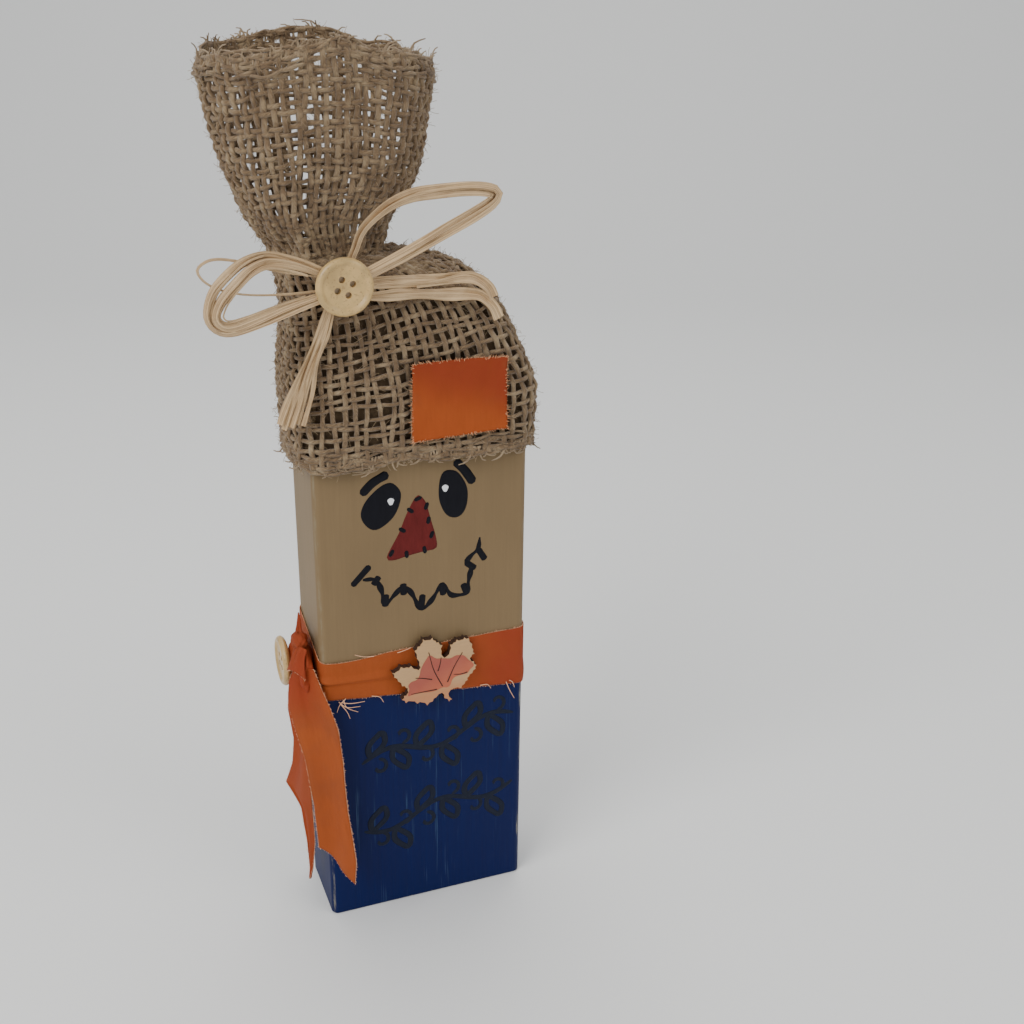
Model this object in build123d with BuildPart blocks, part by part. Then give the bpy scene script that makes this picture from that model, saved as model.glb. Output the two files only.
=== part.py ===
"""Scarecrow shelf sitter: a painted lumber offcut with a tied burlap hat, a raffia bow,
two buttons, a plywood maple leaf and a knotted ribbon scarf whose two tails swing freely.

Frame: origin at the centre of the block's bottom face, +X to the figure's left hand
(the viewer's right), +Y to the back, +Z up. The painted face looks along -Y.
"""

import os
from math import atan2, cos, degrees, hypot, radians, sin

from build123d import *

os.makedirs("parts", exist_ok=True)

# ---- Block: an offcut of dressed two-by-four, stood on end
block_width = 88.9
block_depth = 38.1
block_height = 241.3
block_edge_radius = 3.0
saw_cut_chamfer = 0.6

# ---- Hat: a burlap sack pulled over the block and tied above it
cloth_clearance = 0.3  # between cloth and whatever it lies on
hat_overlap = 30.3  # the hem hangs this far below the block's top
hat_side_wall = 3.8  # loose cloth standing proud of the block
hat_straight_drop = 5.0  # the straight skirt ends this far below the block's top
neck_from_side = 13.85  # the neck's middle stands this far in from the block's side
neck_width = 41.4
neck_gather = 20.3  # the tie draws the sack's front and back in by this much together
neck_above_block = 47.2
neck_length = 5.5
mouth_rim_radius = 80.0  # equal length of cloth from the neck to the rim
mouth_rim_offset_y = 5.0  # the rim's front leans out further than its back
mouth_wall = 2.0
gathered_stations = 2  # the cloth is gathered solid below this station of the mouth
# Crown, above the skirt: height above the skirt's end, inset of the left and right
# sides from the skirt, and inset of the front and back
crown_stations = [
    (13.0, 0.0, 5.0, 0.8),
    (26.0, 0.2, 10.3, 2.6),
    (38.0, -0.1, 18.0, 5.0),
    (46.0, -1.0, 28.5, 7.6),
    (52.2, -2.6, 50.0, 9.8),
]
# Mouth, above the neck: height above the neck's top, spread of the left and right
# sides and spread of the front and back
mouth_stations = [
    (3.5, 4.2, 1.6, 1.5),
    (10.5, 8.8, 4.4, 4.0),
    (18.5, 12.2, 10.0, 6.5),
    (30.5, 15.5, 15.8, 9.0),
    (46.5, 18.2, 18.2, 11.0),
    (61.5, 20.8, 19.6, 12.6),
    (76.5, 23.2, 21.2, 14.0),
]

# ---- Patch on the hat
patch_width = 38.5
patch_height = 29.5
patch_thickness = 0.6
patch_left = -5.8
patch_above_hem = 9.8
patch_glue_radius = 5.0

# ---- Buttons
button_diameter = 21.2
button_thickness = 3.4
button_rim = 2.4
button_dish_depth = 0.7
button_rear_crown = 0.5
button_hole_diameter = 2.4
button_hole_spacing = 4.25
hat_button_turn = -23.5
hat_button_from_neck_x = -1.1
hat_button_below_neck = 6.1

# ---- Raffia bow: flat bundles stacked from the hat outwards
raffia_layer_gap = 0.2
raffia_standoff = 0.85  # from the hat's front to the back of the first layer
raffia_bundle_thickness = 1.6
raffia_loop_thickness = 2.0
stray_strand_thickness = 0.7
stray_strand_width = 1.6
raffia_hub_radius = 6.5
raffia_hub_clearance = 0.2
raffia_tie_thickness = 1.5
raffia_tie_height = 4.5
raffia_tie_rise = 0.5
raffia_hub_recess = 4.1  # the hub reaches back past the skirt's front to the crown
left_loop_width = 4.6
right_loop_width = 4.0
arm_width = 4.4
tail_bundle_start = 4.5
tail_bundle_end = 10.2
glue_thickness = 0.5

# ---- Scarf: wire-free ribbon tied round the block
ribbon_width = 25.4
ribbon_thickness = 0.6
band_top_front = 127.9  # heights of the ribbon's edges on the front face
band_rise_to_back = 0.236
band_top_slope = 0.019
band_bottom_front = 105.8
band_bottom_slope = -0.0955  # the ribbon is pleated narrower towards its knot

# ---- Scarf knot on the figure's right face
knot_reach = 8.0
knot_length = 22.0
knot_height = 18.5
knot_from_front = 13.05  # the knot's middle stands this far behind the front face
knot_bottom = 116.5
knot_round = 3.4
scarf_button_behind_knot = 9.5
scarf_button_above_knot = 2.5
scarf_glue_thickness = 0.3
scarf_glue_radius = 3.0

# ---- Scarf tails: each lies in an upright plane that faces outwards
tail_thickness = 1.0
tail_gap = 0.4  # between a tail and the ribbon stub that it hangs from
front_tail_angle = 225.0  # direction it faces, degrees from +X
front_tail_standoff = 2.84  # from the block's rounded corner to the tail's middle
front_tail_drop = 4.5  # from the knot's underside to the tail's top edge
front_tail_across = -5.5  # the tail's top, across its plane from the block's corner
rear_tail_angle = 195.0
rear_tail_standoff = 1.66
rear_tail_drop = 9.8
rear_tail_across = -12.8
stub_width = 10.0

# ---- Maple leaf, cut from thin plywood
leaf_thickness = 3.0
leaf_origin = (7.0, 110.0)  # where its veins meet, X and Z
leaf_tilt = 21.0
leaf_glue_radius = 6.0
leaf_vein_width = 0.7
leaf_vein_depth = 0.4
# Right half of the leaf, from its stem to its tip: across and along the middle vein
leaf_half = [
    (0.9, -9.0), (0.9, -4.0), (3.0, -4.3), (6.2, -6.3), (8.8, -3.6), (13.7, -2.2),
    (17.3, 1.7), (13.2, 4.4), (17.2, 8.2), (17.6, 15.6), (13.6, 15.9), (10.1, 15.7),
    (7.4, 12.8), (5.4, 11.9), (5.8, 18.0), (4.6, 19.4), (2.9, 22.6), (0.0, 25.2),
]
leaf_veins = [(0.0, 19.5), (12.6, 12.2), (-12.6, 12.2), (12.2, 1.0), (-12.2, 1.0)]

# ---- Values worked out from the sizes above
half_width = block_width / 2
half_depth = block_depth / 2
hat_hem_height = block_height - hat_overlap
neck_height = block_height + neck_above_block
neck_center_x = neck_from_side - half_width
skirt_top = block_height - hat_straight_drop
skirt_grow = cloth_clearance + hat_side_wall
skirt_width = block_width + 2 * skirt_grow
skirt_depth = block_depth + 2 * skirt_grow
neck_depth = skirt_depth - neck_gather
neck_top = neck_height + neck_length
skirt_front = -skirt_depth / 2
patch_corner = (patch_left, hat_hem_height + patch_above_hem)
hat_button_x = neck_center_x + hat_button_from_neck_x
hat_button_z = neck_height - hat_button_below_neck
raffia_tail_back = skirt_front - raffia_standoff
hub_front = raffia_tail_back - raffia_bundle_thickness - stray_strand_thickness
hub_front -= raffia_loop_thickness + 2 * raffia_layer_gap
hub_back = skirt_front + raffia_hub_recess
hat_button_back = hub_front - glue_thickness
band_inner = half_width + cloth_clearance
band_outer = band_inner + ribbon_thickness
knot_inner = -(band_outer + cloth_clearance)
knot_outer = knot_inner - knot_reach
knot_center_y = knot_from_front - half_depth
scarf_button_y = knot_center_y + scarf_button_behind_knot
scarf_button_z = knot_bottom + scarf_button_above_knot
front_tail_top = knot_bottom - front_tail_drop
rear_tail_top = knot_bottom - rear_tail_drop


def label_and_write(piece, name):
    """Name a finished piece and write its STEP file."""
    piece.part.label = name
    export_step(piece.part, f"parts/{name}.step")


def corner_plane(angle, standoff, height):
    """Upright plane facing `angle`, off the block's front corner beside the knot.

    Its origin is level with `height`, over the middle of the corner's round.
    """
    facing = Vector(cos(radians(angle)), sin(radians(angle)), 0)
    across = Vector(-facing.Y, facing.X, 0)
    round_center = Vector(
        block_edge_radius - half_width, block_edge_radius - half_depth, height)
    origin = round_center + facing * (block_edge_radius + standoff)
    return Plane(origin=origin, x_dir=across, z_dir=facing)


def front_plane(y):
    """Plane seen from the front: its X is +X, its Y is +Z and it faces -Y."""
    return Plane(origin=(0, y, 0), x_dir=(1, 0, 0), z_dir=(0, -1, 0))


def section(height, left, right, depth):
    """Plane and size of one level rounded section of the hat."""
    return Plane(origin=((left + right) / 2, 0, height)), right - left, depth


def hat_sections(stations, left, right, depth, height, wall=0.0):
    """Sections of the hat from stations of (rise, left, right, depth) spreads."""
    for rise, spread_left, spread_right, spread_depth in stations:
        yield section(
            height + rise,
            left - spread_left + wall,
            right + spread_right - wall,
            depth + 2 * spread_depth - 2 * wall,
        )


# ======================================================================= wood block
with BuildPart() as wood_block:
    with BuildSketch():
        RectangleRounded(block_width, block_depth, block_edge_radius)
    extrude(amount=block_height)
    ends = wood_block.faces().filter_by(Axis.Z)
    chamfer(ends.edges(), saw_cut_chamfer)
label_and_write(wood_block, "wood_block")

# ============================================================================== hat
neck_left = neck_center_x - neck_width / 2
neck_right = neck_center_x + neck_width / 2
neck_section = section(neck_top, neck_left, neck_right, neck_depth)
mouth_outer = [neck_section, *hat_sections(
    mouth_stations, neck_left, neck_right, neck_depth, neck_top)]
mouth_inner = list(hat_sections(
    mouth_stations, neck_left, neck_right, neck_depth, neck_top, mouth_wall))
crown_outer = [section(skirt_top, -skirt_width / 2, skirt_width / 2, skirt_depth)]
for rise, inset_left, inset_right, inset_depth in crown_stations:
    crown_outer.append(section(
        skirt_top + rise,
        -skirt_width / 2 + inset_left,
        skirt_width / 2 - inset_right,
        skirt_depth - 2 * inset_depth,
    ))


with BuildPart() as hat_sack:
    for plane, width, depth in mouth_outer:
        with BuildSketch(plane):
            RectangleRounded(width, depth, depth * 0.49)
    loft()
    for plane, width, depth in mouth_inner[gathered_stations - 1:]:
        with BuildSketch(plane):
            RectangleRounded(width, depth, depth * 0.49)
    loft(mode=Mode.SUBTRACT)
    with Locations((neck_center_x, mouth_rim_offset_y, neck_height)):
        Sphere(mouth_rim_radius, mode=Mode.INTERSECT)
    with BuildSketch(Plane(origin=(neck_center_x, 0, neck_height))):
        RectangleRounded(neck_width, neck_depth, neck_depth * 0.49)
    extrude(amount=neck_length)
    for number, (plane, width, depth) in enumerate(crown_outer):
        with BuildSketch(plane):
            RectangleRounded(width, depth, depth * (0.2 + 0.05 * number))
    loft()
    with BuildSketch(Plane.XY.offset(hat_hem_height)):
        RectangleRounded(skirt_width, skirt_depth, skirt_depth * 0.2)
    extrude(amount=skirt_top - hat_hem_height)
    with BuildSketch(Plane.XY.offset(hat_hem_height)):
        RectangleRounded(
            block_width + 2 * cloth_clearance,
            block_depth + 2 * cloth_clearance,
            block_edge_radius + cloth_clearance,
        )
    extrude(amount=block_height + cloth_clearance - hat_hem_height, mode=Mode.SUBTRACT)
label_and_write(hat_sack, "hat_sack")

# ============================================================================ patch
patch_back = skirt_front - cloth_clearance
with BuildPart() as hat_patch:
    with BuildSketch(front_plane(patch_back)):
        with Locations(patch_corner):
            Rectangle(patch_width, patch_height, align=(Align.MIN, Align.MIN))
    extrude(amount=patch_thickness)
label_and_write(hat_patch, "hat_patch")

with BuildPart() as patch_glue:
    with BuildSketch(front_plane(skirt_front)):
        with Locations((
            patch_corner[0] + patch_width / 2,
            (patch_corner[1] + skirt_top) / 2,
        )):
            Circle(patch_glue_radius)
    extrude(amount=cloth_clearance)
label_and_write(patch_glue, "patch_glue")

# ======================================================= hot-melt dabs under the hat
with BuildPart() as hat_glue:
    for face_y, facing in ((-half_depth, -1), (half_depth, 1)):
        glued_face = Plane(
            origin=(0, face_y, (hat_hem_height + skirt_top) / 2),
            x_dir=(1, 0, 0),
            z_dir=(0, facing, 0),
        )
        with BuildSketch(glued_face):
            with GridLocations(block_width * 0.6, 0, 2, 1):
                Circle(patch_glue_radius)
        extrude(amount=cloth_clearance)
label_and_write(hat_glue, "hat_glue")

# ========================================================================== buttons
hat_button_plane = Plane(
    origin=(hat_button_x, hat_button_back, hat_button_z), x_dir=(1, 0, 0), z_dir=(0, -1, 0))
scarf_button_plane = Plane(
    origin=(knot_outer - scarf_glue_thickness, scarf_button_y, scarf_button_z),
    x_dir=(0, -1, 0), z_dir=(-1, 0, 0))


def make_button(plane, turn):
    """One four-hole button on its plane, back face first."""
    profile_plane = Plane(origin=plane.origin, x_dir=plane.x_dir, z_dir=-plane.y_dir)
    radius = button_diameter / 2
    dish = radius - button_rim
    floor = button_thickness - button_dish_depth
    with BuildPart() as button:
        with BuildSketch(profile_plane):
            with BuildLine():
                Line((0, 0), (radius - 2.0, 0))
                RadiusArc((radius - 2.0, 0), (radius, button_thickness / 2), -2.6)
                RadiusArc((radius, button_thickness / 2), (radius - 1.2, button_thickness), -1.9)
                Polyline(
                    (radius - 1.2, button_thickness), (dish + 0.5, button_thickness),
                    (dish - 0.5, floor), (0, floor), (0, 0))
            make_face()
        revolve(axis=Axis(plane.origin, plane.z_dir))
        with BuildSketch(plane):
            with PolarLocations(button_hole_spacing / 2**0.5, 4, start_angle=turn + 45):
                Circle(button_hole_diameter / 2)
        extrude(amount=button_thickness, mode=Mode.SUBTRACT)
    return button


hat_button = make_button(hat_button_plane, hat_button_turn)
label_and_write(hat_button, "hat_button")
scarf_button = make_button(scarf_button_plane, 0)
label_and_write(scarf_button, "scarf_button")

with BuildPart() as hat_button_glue:
    with BuildSketch(hat_button_plane):
        Circle(raffia_hub_radius * 0.8)
    extrude(amount=-glue_thickness)
label_and_write(hat_button_glue, "hat_button_glue")

# ======================================================================= raffia bow
hub_center = (hat_button_x, hat_button_z)
with BuildPart() as raffia_knot:
    with BuildSketch(front_plane(hub_back)):
        with Locations(hub_center):
            Circle(raffia_hub_radius)
    extrude(amount=hub_back - hub_front)
    tie_front = -(neck_depth / 2 + cloth_clearance + raffia_tie_thickness)
    link_top = neck_height + raffia_tie_rise + raffia_tie_height
    link_bottom = hat_button_z + raffia_hub_radius / 2
    with BuildSketch(front_plane(tie_front)):
        with Locations((hat_button_x, link_top)):
            Rectangle(
                raffia_hub_radius, link_top - link_bottom,
                align=(Align.CENTER, Align.MAX))
    extrude(amount=tie_front - hub_back)
label_and_write(raffia_knot, "raffia_knot")

with BuildPart() as raffia_neck_tie:
    tie_inner = neck_depth + 2 * cloth_clearance
    tie_outer = tie_inner + 2 * raffia_tie_thickness
    with BuildSketch(Plane(origin=(neck_center_x, 0, neck_height + raffia_tie_rise))):
        RectangleRounded(
            neck_width + tie_outer - neck_depth, tie_outer, tie_outer * 0.49)
        RectangleRounded(
            neck_width + tie_inner - neck_depth, tie_inner, tie_inner * 0.49,
            mode=Mode.SUBTRACT)
    extrude(amount=raffia_tie_height)
label_and_write(raffia_neck_tie, "raffia_neck_tie")


def edges_beside(path, start_width, end_width):
    """Both edges of a strap along a path of (x, z) points, its width changing evenly."""
    left, right = [], []
    last = len(path) - 1
    for number, (x, z) in enumerate(path):
        before = path[max(number - 1, 0)]
        after = path[min(number + 1, last)]
        run, rise = after[0] - before[0], after[1] - before[1]
        width = start_width + (end_width - start_width) * number / last
        reach = width / 2 / hypot(run, rise)
        left.append((x - rise * reach, z + run * reach))
        right.append((x + rise * reach, z - run * reach))
    return left, right


def raffia_strap(back, thickness, path, start_width, end_width):
    """Flat bundle of raffia in an upright layer, cut short at the bow's hub.

    Its path is in (x, z) points measured from the middle of the hub.
    """
    left_edge, right_edge = edges_beside(path, start_width, end_width)
    layer = Plane(origin=(hat_button_x, back, hat_button_z), x_dir=(1, 0, 0), z_dir=(0, -1, 0))
    with BuildPart() as strap:
        with BuildSketch(layer):
            with BuildLine():
                Spline(left_edge)
                Line(left_edge[-1], right_edge[-1])
                Spline(right_edge)
                Line(right_edge[0], left_edge[0])
            make_face()
            Circle(raffia_hub_radius + raffia_hub_clearance, mode=Mode.SUBTRACT)
        extrude(amount=thickness)
    return strap


raffia_tail = raffia_strap(
    raffia_tail_back, raffia_bundle_thickness,
    [(-2.6, -4.4), (-6.8, -15.4), (-13.8, -32.9), (-21.8, -54.1)],
    tail_bundle_start, tail_bundle_end)
label_and_write(raffia_tail, "raffia_tail")
raffia_arm_upper = raffia_strap(
    raffia_tail_back, raffia_bundle_thickness,
    [(5.3, -1.1), (21.7, -1.2), (36.7, -0.9), (48.7, -0.7), (56.7, -3.8)],
    arm_width, arm_width)
label_and_write(raffia_arm_upper, "raffia_arm_upper")
raffia_arm_lower = raffia_strap(
    raffia_tail_back, raffia_bundle_thickness,
    [(4.7, -6.0), (21.7, -6.2), (36.7, -6.2), (48.7, -6.5), (55.7, -9.0),
     (60.3, -14.4)],
    arm_width, arm_width)
label_and_write(raffia_arm_lower, "raffia_arm_lower")

stray_back = raffia_tail_back - raffia_bundle_thickness - raffia_layer_gap
raffia_stray = raffia_strap(
    stray_back, stray_strand_thickness,
    [(-5.7, 3.2), (-22.3, 5.8), (-37.1, 10.6), (-45.6, 11.5), (-50.5, 8.0),
     (-47.1, 2.6), (-37.5, -1.5), (-22.3, -2.0), (-5.7, -1.4)],
    stray_strand_width, stray_strand_width)
label_and_write(raffia_stray, "raffia_stray")

loop_back = stray_back - stray_strand_thickness - raffia_layer_gap
raffia_loop_left = raffia_strap(
    loop_back, raffia_loop_thickness,
    [(-4.9, 3.4), (-15.8, 7.2), (-26.7, 11.2), (-36.7, 7.2), (-44.7, 0.0),
     (-46.9, -7.8), (-41.3, -13.0), (-30.3, -10.6), (-18.3, -6.8), (-4.9, -3.6)],
    left_loop_width, left_loop_width)
label_and_write(raffia_loop_left, "raffia_loop_left")
raffia_loop_right = raffia_strap(
    loop_back, raffia_loop_thickness,
    [(2.7, 5.8), (6.9, 16.2), (13.3, 24.2), (23.2, 29.4), (34.7, 31.2),
     (45.7, 32.0), (54.2, 32.0), (58.9, 29.2), (56.3, 25.2), (46.2, 21.2),
     (34.7, 15.6), (22.7, 9.0), (5.9, 1.0)],
    right_loop_width, right_loop_width)
label_and_write(raffia_loop_right, "raffia_loop_right")

# ============================================================================ scarf
def band_cut(front_height, slope):
    """Slanting plane through the scarf's edge: it climbs to the back of the block."""
    normal = Vector(-slope, -band_rise_to_back, 1)
    height = front_height + band_rise_to_back * half_depth
    return Plane(origin=(0, 0, height), z_dir=normal)


with BuildPart() as scarf_band:
    with BuildSketch(Plane.XY.offset(band_bottom_front - ribbon_width)):
        RectangleRounded(
            2 * band_outer, block_depth + 2 * (band_outer - half_width),
            block_edge_radius + band_outer - half_width)
        RectangleRounded(
            2 * band_inner, block_depth + 2 * (band_inner - half_width),
            block_edge_radius + band_inner - half_width, mode=Mode.SUBTRACT)
    extrude(amount=4 * ribbon_width)
    split(bisect_by=band_cut(band_top_front, band_top_slope), keep=Keep.BOTTOM)
    split(bisect_by=band_cut(band_bottom_front, band_bottom_slope), keep=Keep.TOP)
label_and_write(scarf_band, "scarf_band")

front_tail_plane = corner_plane(front_tail_angle, front_tail_standoff, front_tail_top)
rear_tail_plane = corner_plane(rear_tail_angle, rear_tail_standoff, rear_tail_top)
knot_top = knot_bottom + knot_height

with BuildPart() as scarf_knot:
    with BuildSketch(Plane(origin=(0, 0, knot_bottom))):
        with Locations((knot_inner - knot_reach / 2, knot_center_y)):
            Rectangle(knot_reach, knot_length)
    extrude(amount=knot_height)
    outer_edges = scarf_knot.faces().sort_by(Axis.X)[0].edges()
    fillet(outer_edges, knot_round)
    stub_reach = knot_height / 2
    with BuildSketch(front_tail_plane):
        with Locations((front_tail_across, tail_gap)):
            Rectangle(stub_width, stub_reach, align=(Align.CENTER, Align.MIN))
    extrude(amount=tail_thickness / 2, both=True)
    with BuildSketch(rear_tail_plane):
        with Locations((rear_tail_across, tail_gap)):
            Rectangle(stub_width, 2 * stub_reach, align=(Align.CENTER, Align.MIN))
    extrude(amount=tail_thickness / 2, both=True)
label_and_write(scarf_knot, "scarf_knot")

with BuildPart() as scarf_button_glue:
    with BuildSketch(scarf_button_plane):
        knot_flat_end = knot_length / 2 - knot_round
        with Locations((scarf_button_behind_knot - knot_flat_end + scarf_glue_radius, 0)):
            Circle(scarf_glue_radius)
    extrude(amount=-scarf_glue_thickness)
label_and_write(scarf_button_glue, "scarf_button_glue")

with BuildPart() as scarf_knot_glue:
    with BuildSketch(Plane(
            origin=(knot_inner, knot_center_y, (knot_bottom + knot_top) / 2),
            z_dir=(1, 0, 0))):
        Circle(2 * scarf_glue_radius)
    extrude(amount=cloth_clearance)
label_and_write(scarf_knot_glue, "scarf_knot_glue")


def hanging_tail(plane, outline):
    """Flat ribbon tail in its upright plane.

    The outline is across from the block's corner, and up from the tail's top edge.
    """
    with BuildPart() as tail:
        with BuildSketch(plane):
            with BuildLine():
                Polyline(*outline, close=True)
            make_face()
        extrude(amount=tail_thickness / 2, both=True)
    return tail


scarf_tail_front = hanging_tail(front_tail_plane, [
    (front_tail_across - stub_width / 2, 0), (front_tail_across + stub_width / 2, 0),
    (9.0, -10.0), (10.8, -28.0), (12.2, -52.0), (14.8, -76.0), (14.4, -87.0),
    (5.8, -80.0), (-3.0, -73.5), (-3.8, -51.0), (-6.7, -32.0), (-10.5, -17.0),
])
label_and_write(scarf_tail_front, "scarf_tail_front")
scarf_tail_rear = hanging_tail(rear_tail_plane, [
    (rear_tail_across - stub_width / 2, 0), (rear_tail_across + stub_width * 0.4, 0),
    (-9.0, -36.7), (-9.0, -72.7), (-11.4, -88.7), (-14.2, -95.7), (-14.6, -74.7),
    (-18.1, -59.7), (-25.3, -55.7), (-32.8, -56.2), (-25.3, -40.7), (-22.4, -26.7),
    (-25.3, -12.7),
])
label_and_write(scarf_tail_rear, "scarf_tail_rear")

# ======================================================================= maple leaf
band_front = -(half_depth + band_outer - half_width)
leaf_back = band_front - glue_thickness
leaf_plane = Plane(
    origin=(leaf_origin[0], leaf_back, leaf_origin[1]),
    x_dir=(cos(radians(leaf_tilt)), 0, sin(radians(leaf_tilt))),
    z_dir=(0, -1, 0))
with BuildPart() as maple_leaf:
    with BuildSketch(leaf_plane):
        with BuildLine():
            Polyline(*leaf_half)
            mirror(about=Plane.YZ)
            Line(leaf_half[0], (-leaf_half[0][0], leaf_half[0][1]))
        make_face()
    extrude(amount=leaf_thickness)
    with BuildSketch(leaf_plane.offset(leaf_thickness)):
        for vein_x, vein_y in leaf_veins:
            with Locations(Location((vein_x / 2, vein_y / 2, 0),
                                    (0, 0, degrees(atan2(vein_y, vein_x))))):
                SlotOverall(hypot(vein_x, vein_y), leaf_vein_width)
    extrude(amount=-leaf_vein_depth, mode=Mode.SUBTRACT)
label_and_write(maple_leaf, "maple_leaf")

with BuildPart() as leaf_glue:
    with BuildSketch(leaf_plane):
        with Locations((0, leaf_glue_radius)):
            Circle(leaf_glue_radius)
    extrude(amount=-glue_thickness)
label_and_write(leaf_glue, "leaf_glue")
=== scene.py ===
"""Scarecrow shelf figure: looks for a painted wooden block with a burlap sack hat, a raffia
bow, two buttons, a maple leaf and a ribbon scarf. Metres, +Z up, the face looks along -Y.
"""

import logging
import math
from collections.abc import Callable
from dataclasses import dataclass
from enum import Enum
from functools import cache

import bmesh
import bpy
import numpy as np
from mathutils import Matrix, Vector
from mathutils.bvhtree import BVHTree

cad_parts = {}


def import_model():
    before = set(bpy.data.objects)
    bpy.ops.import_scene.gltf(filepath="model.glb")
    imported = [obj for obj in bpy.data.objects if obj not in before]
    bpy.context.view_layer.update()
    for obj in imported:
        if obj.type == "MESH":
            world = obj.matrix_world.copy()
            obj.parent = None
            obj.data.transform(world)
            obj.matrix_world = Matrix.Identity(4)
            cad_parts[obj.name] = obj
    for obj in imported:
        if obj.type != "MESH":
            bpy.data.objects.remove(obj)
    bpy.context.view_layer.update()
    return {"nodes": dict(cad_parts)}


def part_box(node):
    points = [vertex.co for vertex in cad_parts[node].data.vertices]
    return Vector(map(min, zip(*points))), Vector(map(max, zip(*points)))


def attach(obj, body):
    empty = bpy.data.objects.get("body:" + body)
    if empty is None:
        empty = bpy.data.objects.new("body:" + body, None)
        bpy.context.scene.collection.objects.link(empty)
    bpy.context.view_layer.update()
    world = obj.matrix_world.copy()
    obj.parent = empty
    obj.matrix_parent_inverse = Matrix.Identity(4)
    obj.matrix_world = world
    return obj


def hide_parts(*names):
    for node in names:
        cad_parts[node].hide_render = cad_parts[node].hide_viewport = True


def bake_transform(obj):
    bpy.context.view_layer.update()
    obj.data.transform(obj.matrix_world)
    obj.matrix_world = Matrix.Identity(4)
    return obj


LOG = logging.getLogger("scarecrow")
MM = 0.001
FIGURE, TAIL_FRONT, TAIL_REAR = "figure", "tail_front", "tail_rear"
FULL_TURN = 2 * math.pi
Socket, Node = bpy.types.NodeSocket, bpy.types.Node
Material, Piece = bpy.types.Material, bpy.types.Object
Array = np.ndarray
Value = Socket | float
Colour = Socket | tuple


class Slot(Enum):
    """Names of the material slots."""

    PINE = "painted_pine"
    BURLAP = "burlap"
    COTTON = "patch_cotton"
    RIBBON = "scarf_ribbon"
    RAFFIA = "raffia"
    LEAF = "leaf_plywood"


# ------------------------------------------------------------------------ node trees
class Nodes:
    """A node tree that takes nodes with their inputs."""

    prefix = ""

    def add(self, kind: str, inputs: dict | None = None, **settings) -> Node:
        """Add a node.

        Args:
            kind: the node's type, without the tree's prefix.
            inputs: socket name or number to a value or an output socket.
            settings: the node's own properties.

        Returns:
            The new node.
        """
        node = self.tree.nodes.new(self.prefix + kind)
        for key, value in settings.items():
            setattr(node, key, value)
        for key, value in (inputs or {}).items():
            if isinstance(value, Socket):
                self.tree.links.new(value, node.inputs[key])
            else:
                node.inputs[key].default_value = value
        return node


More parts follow.
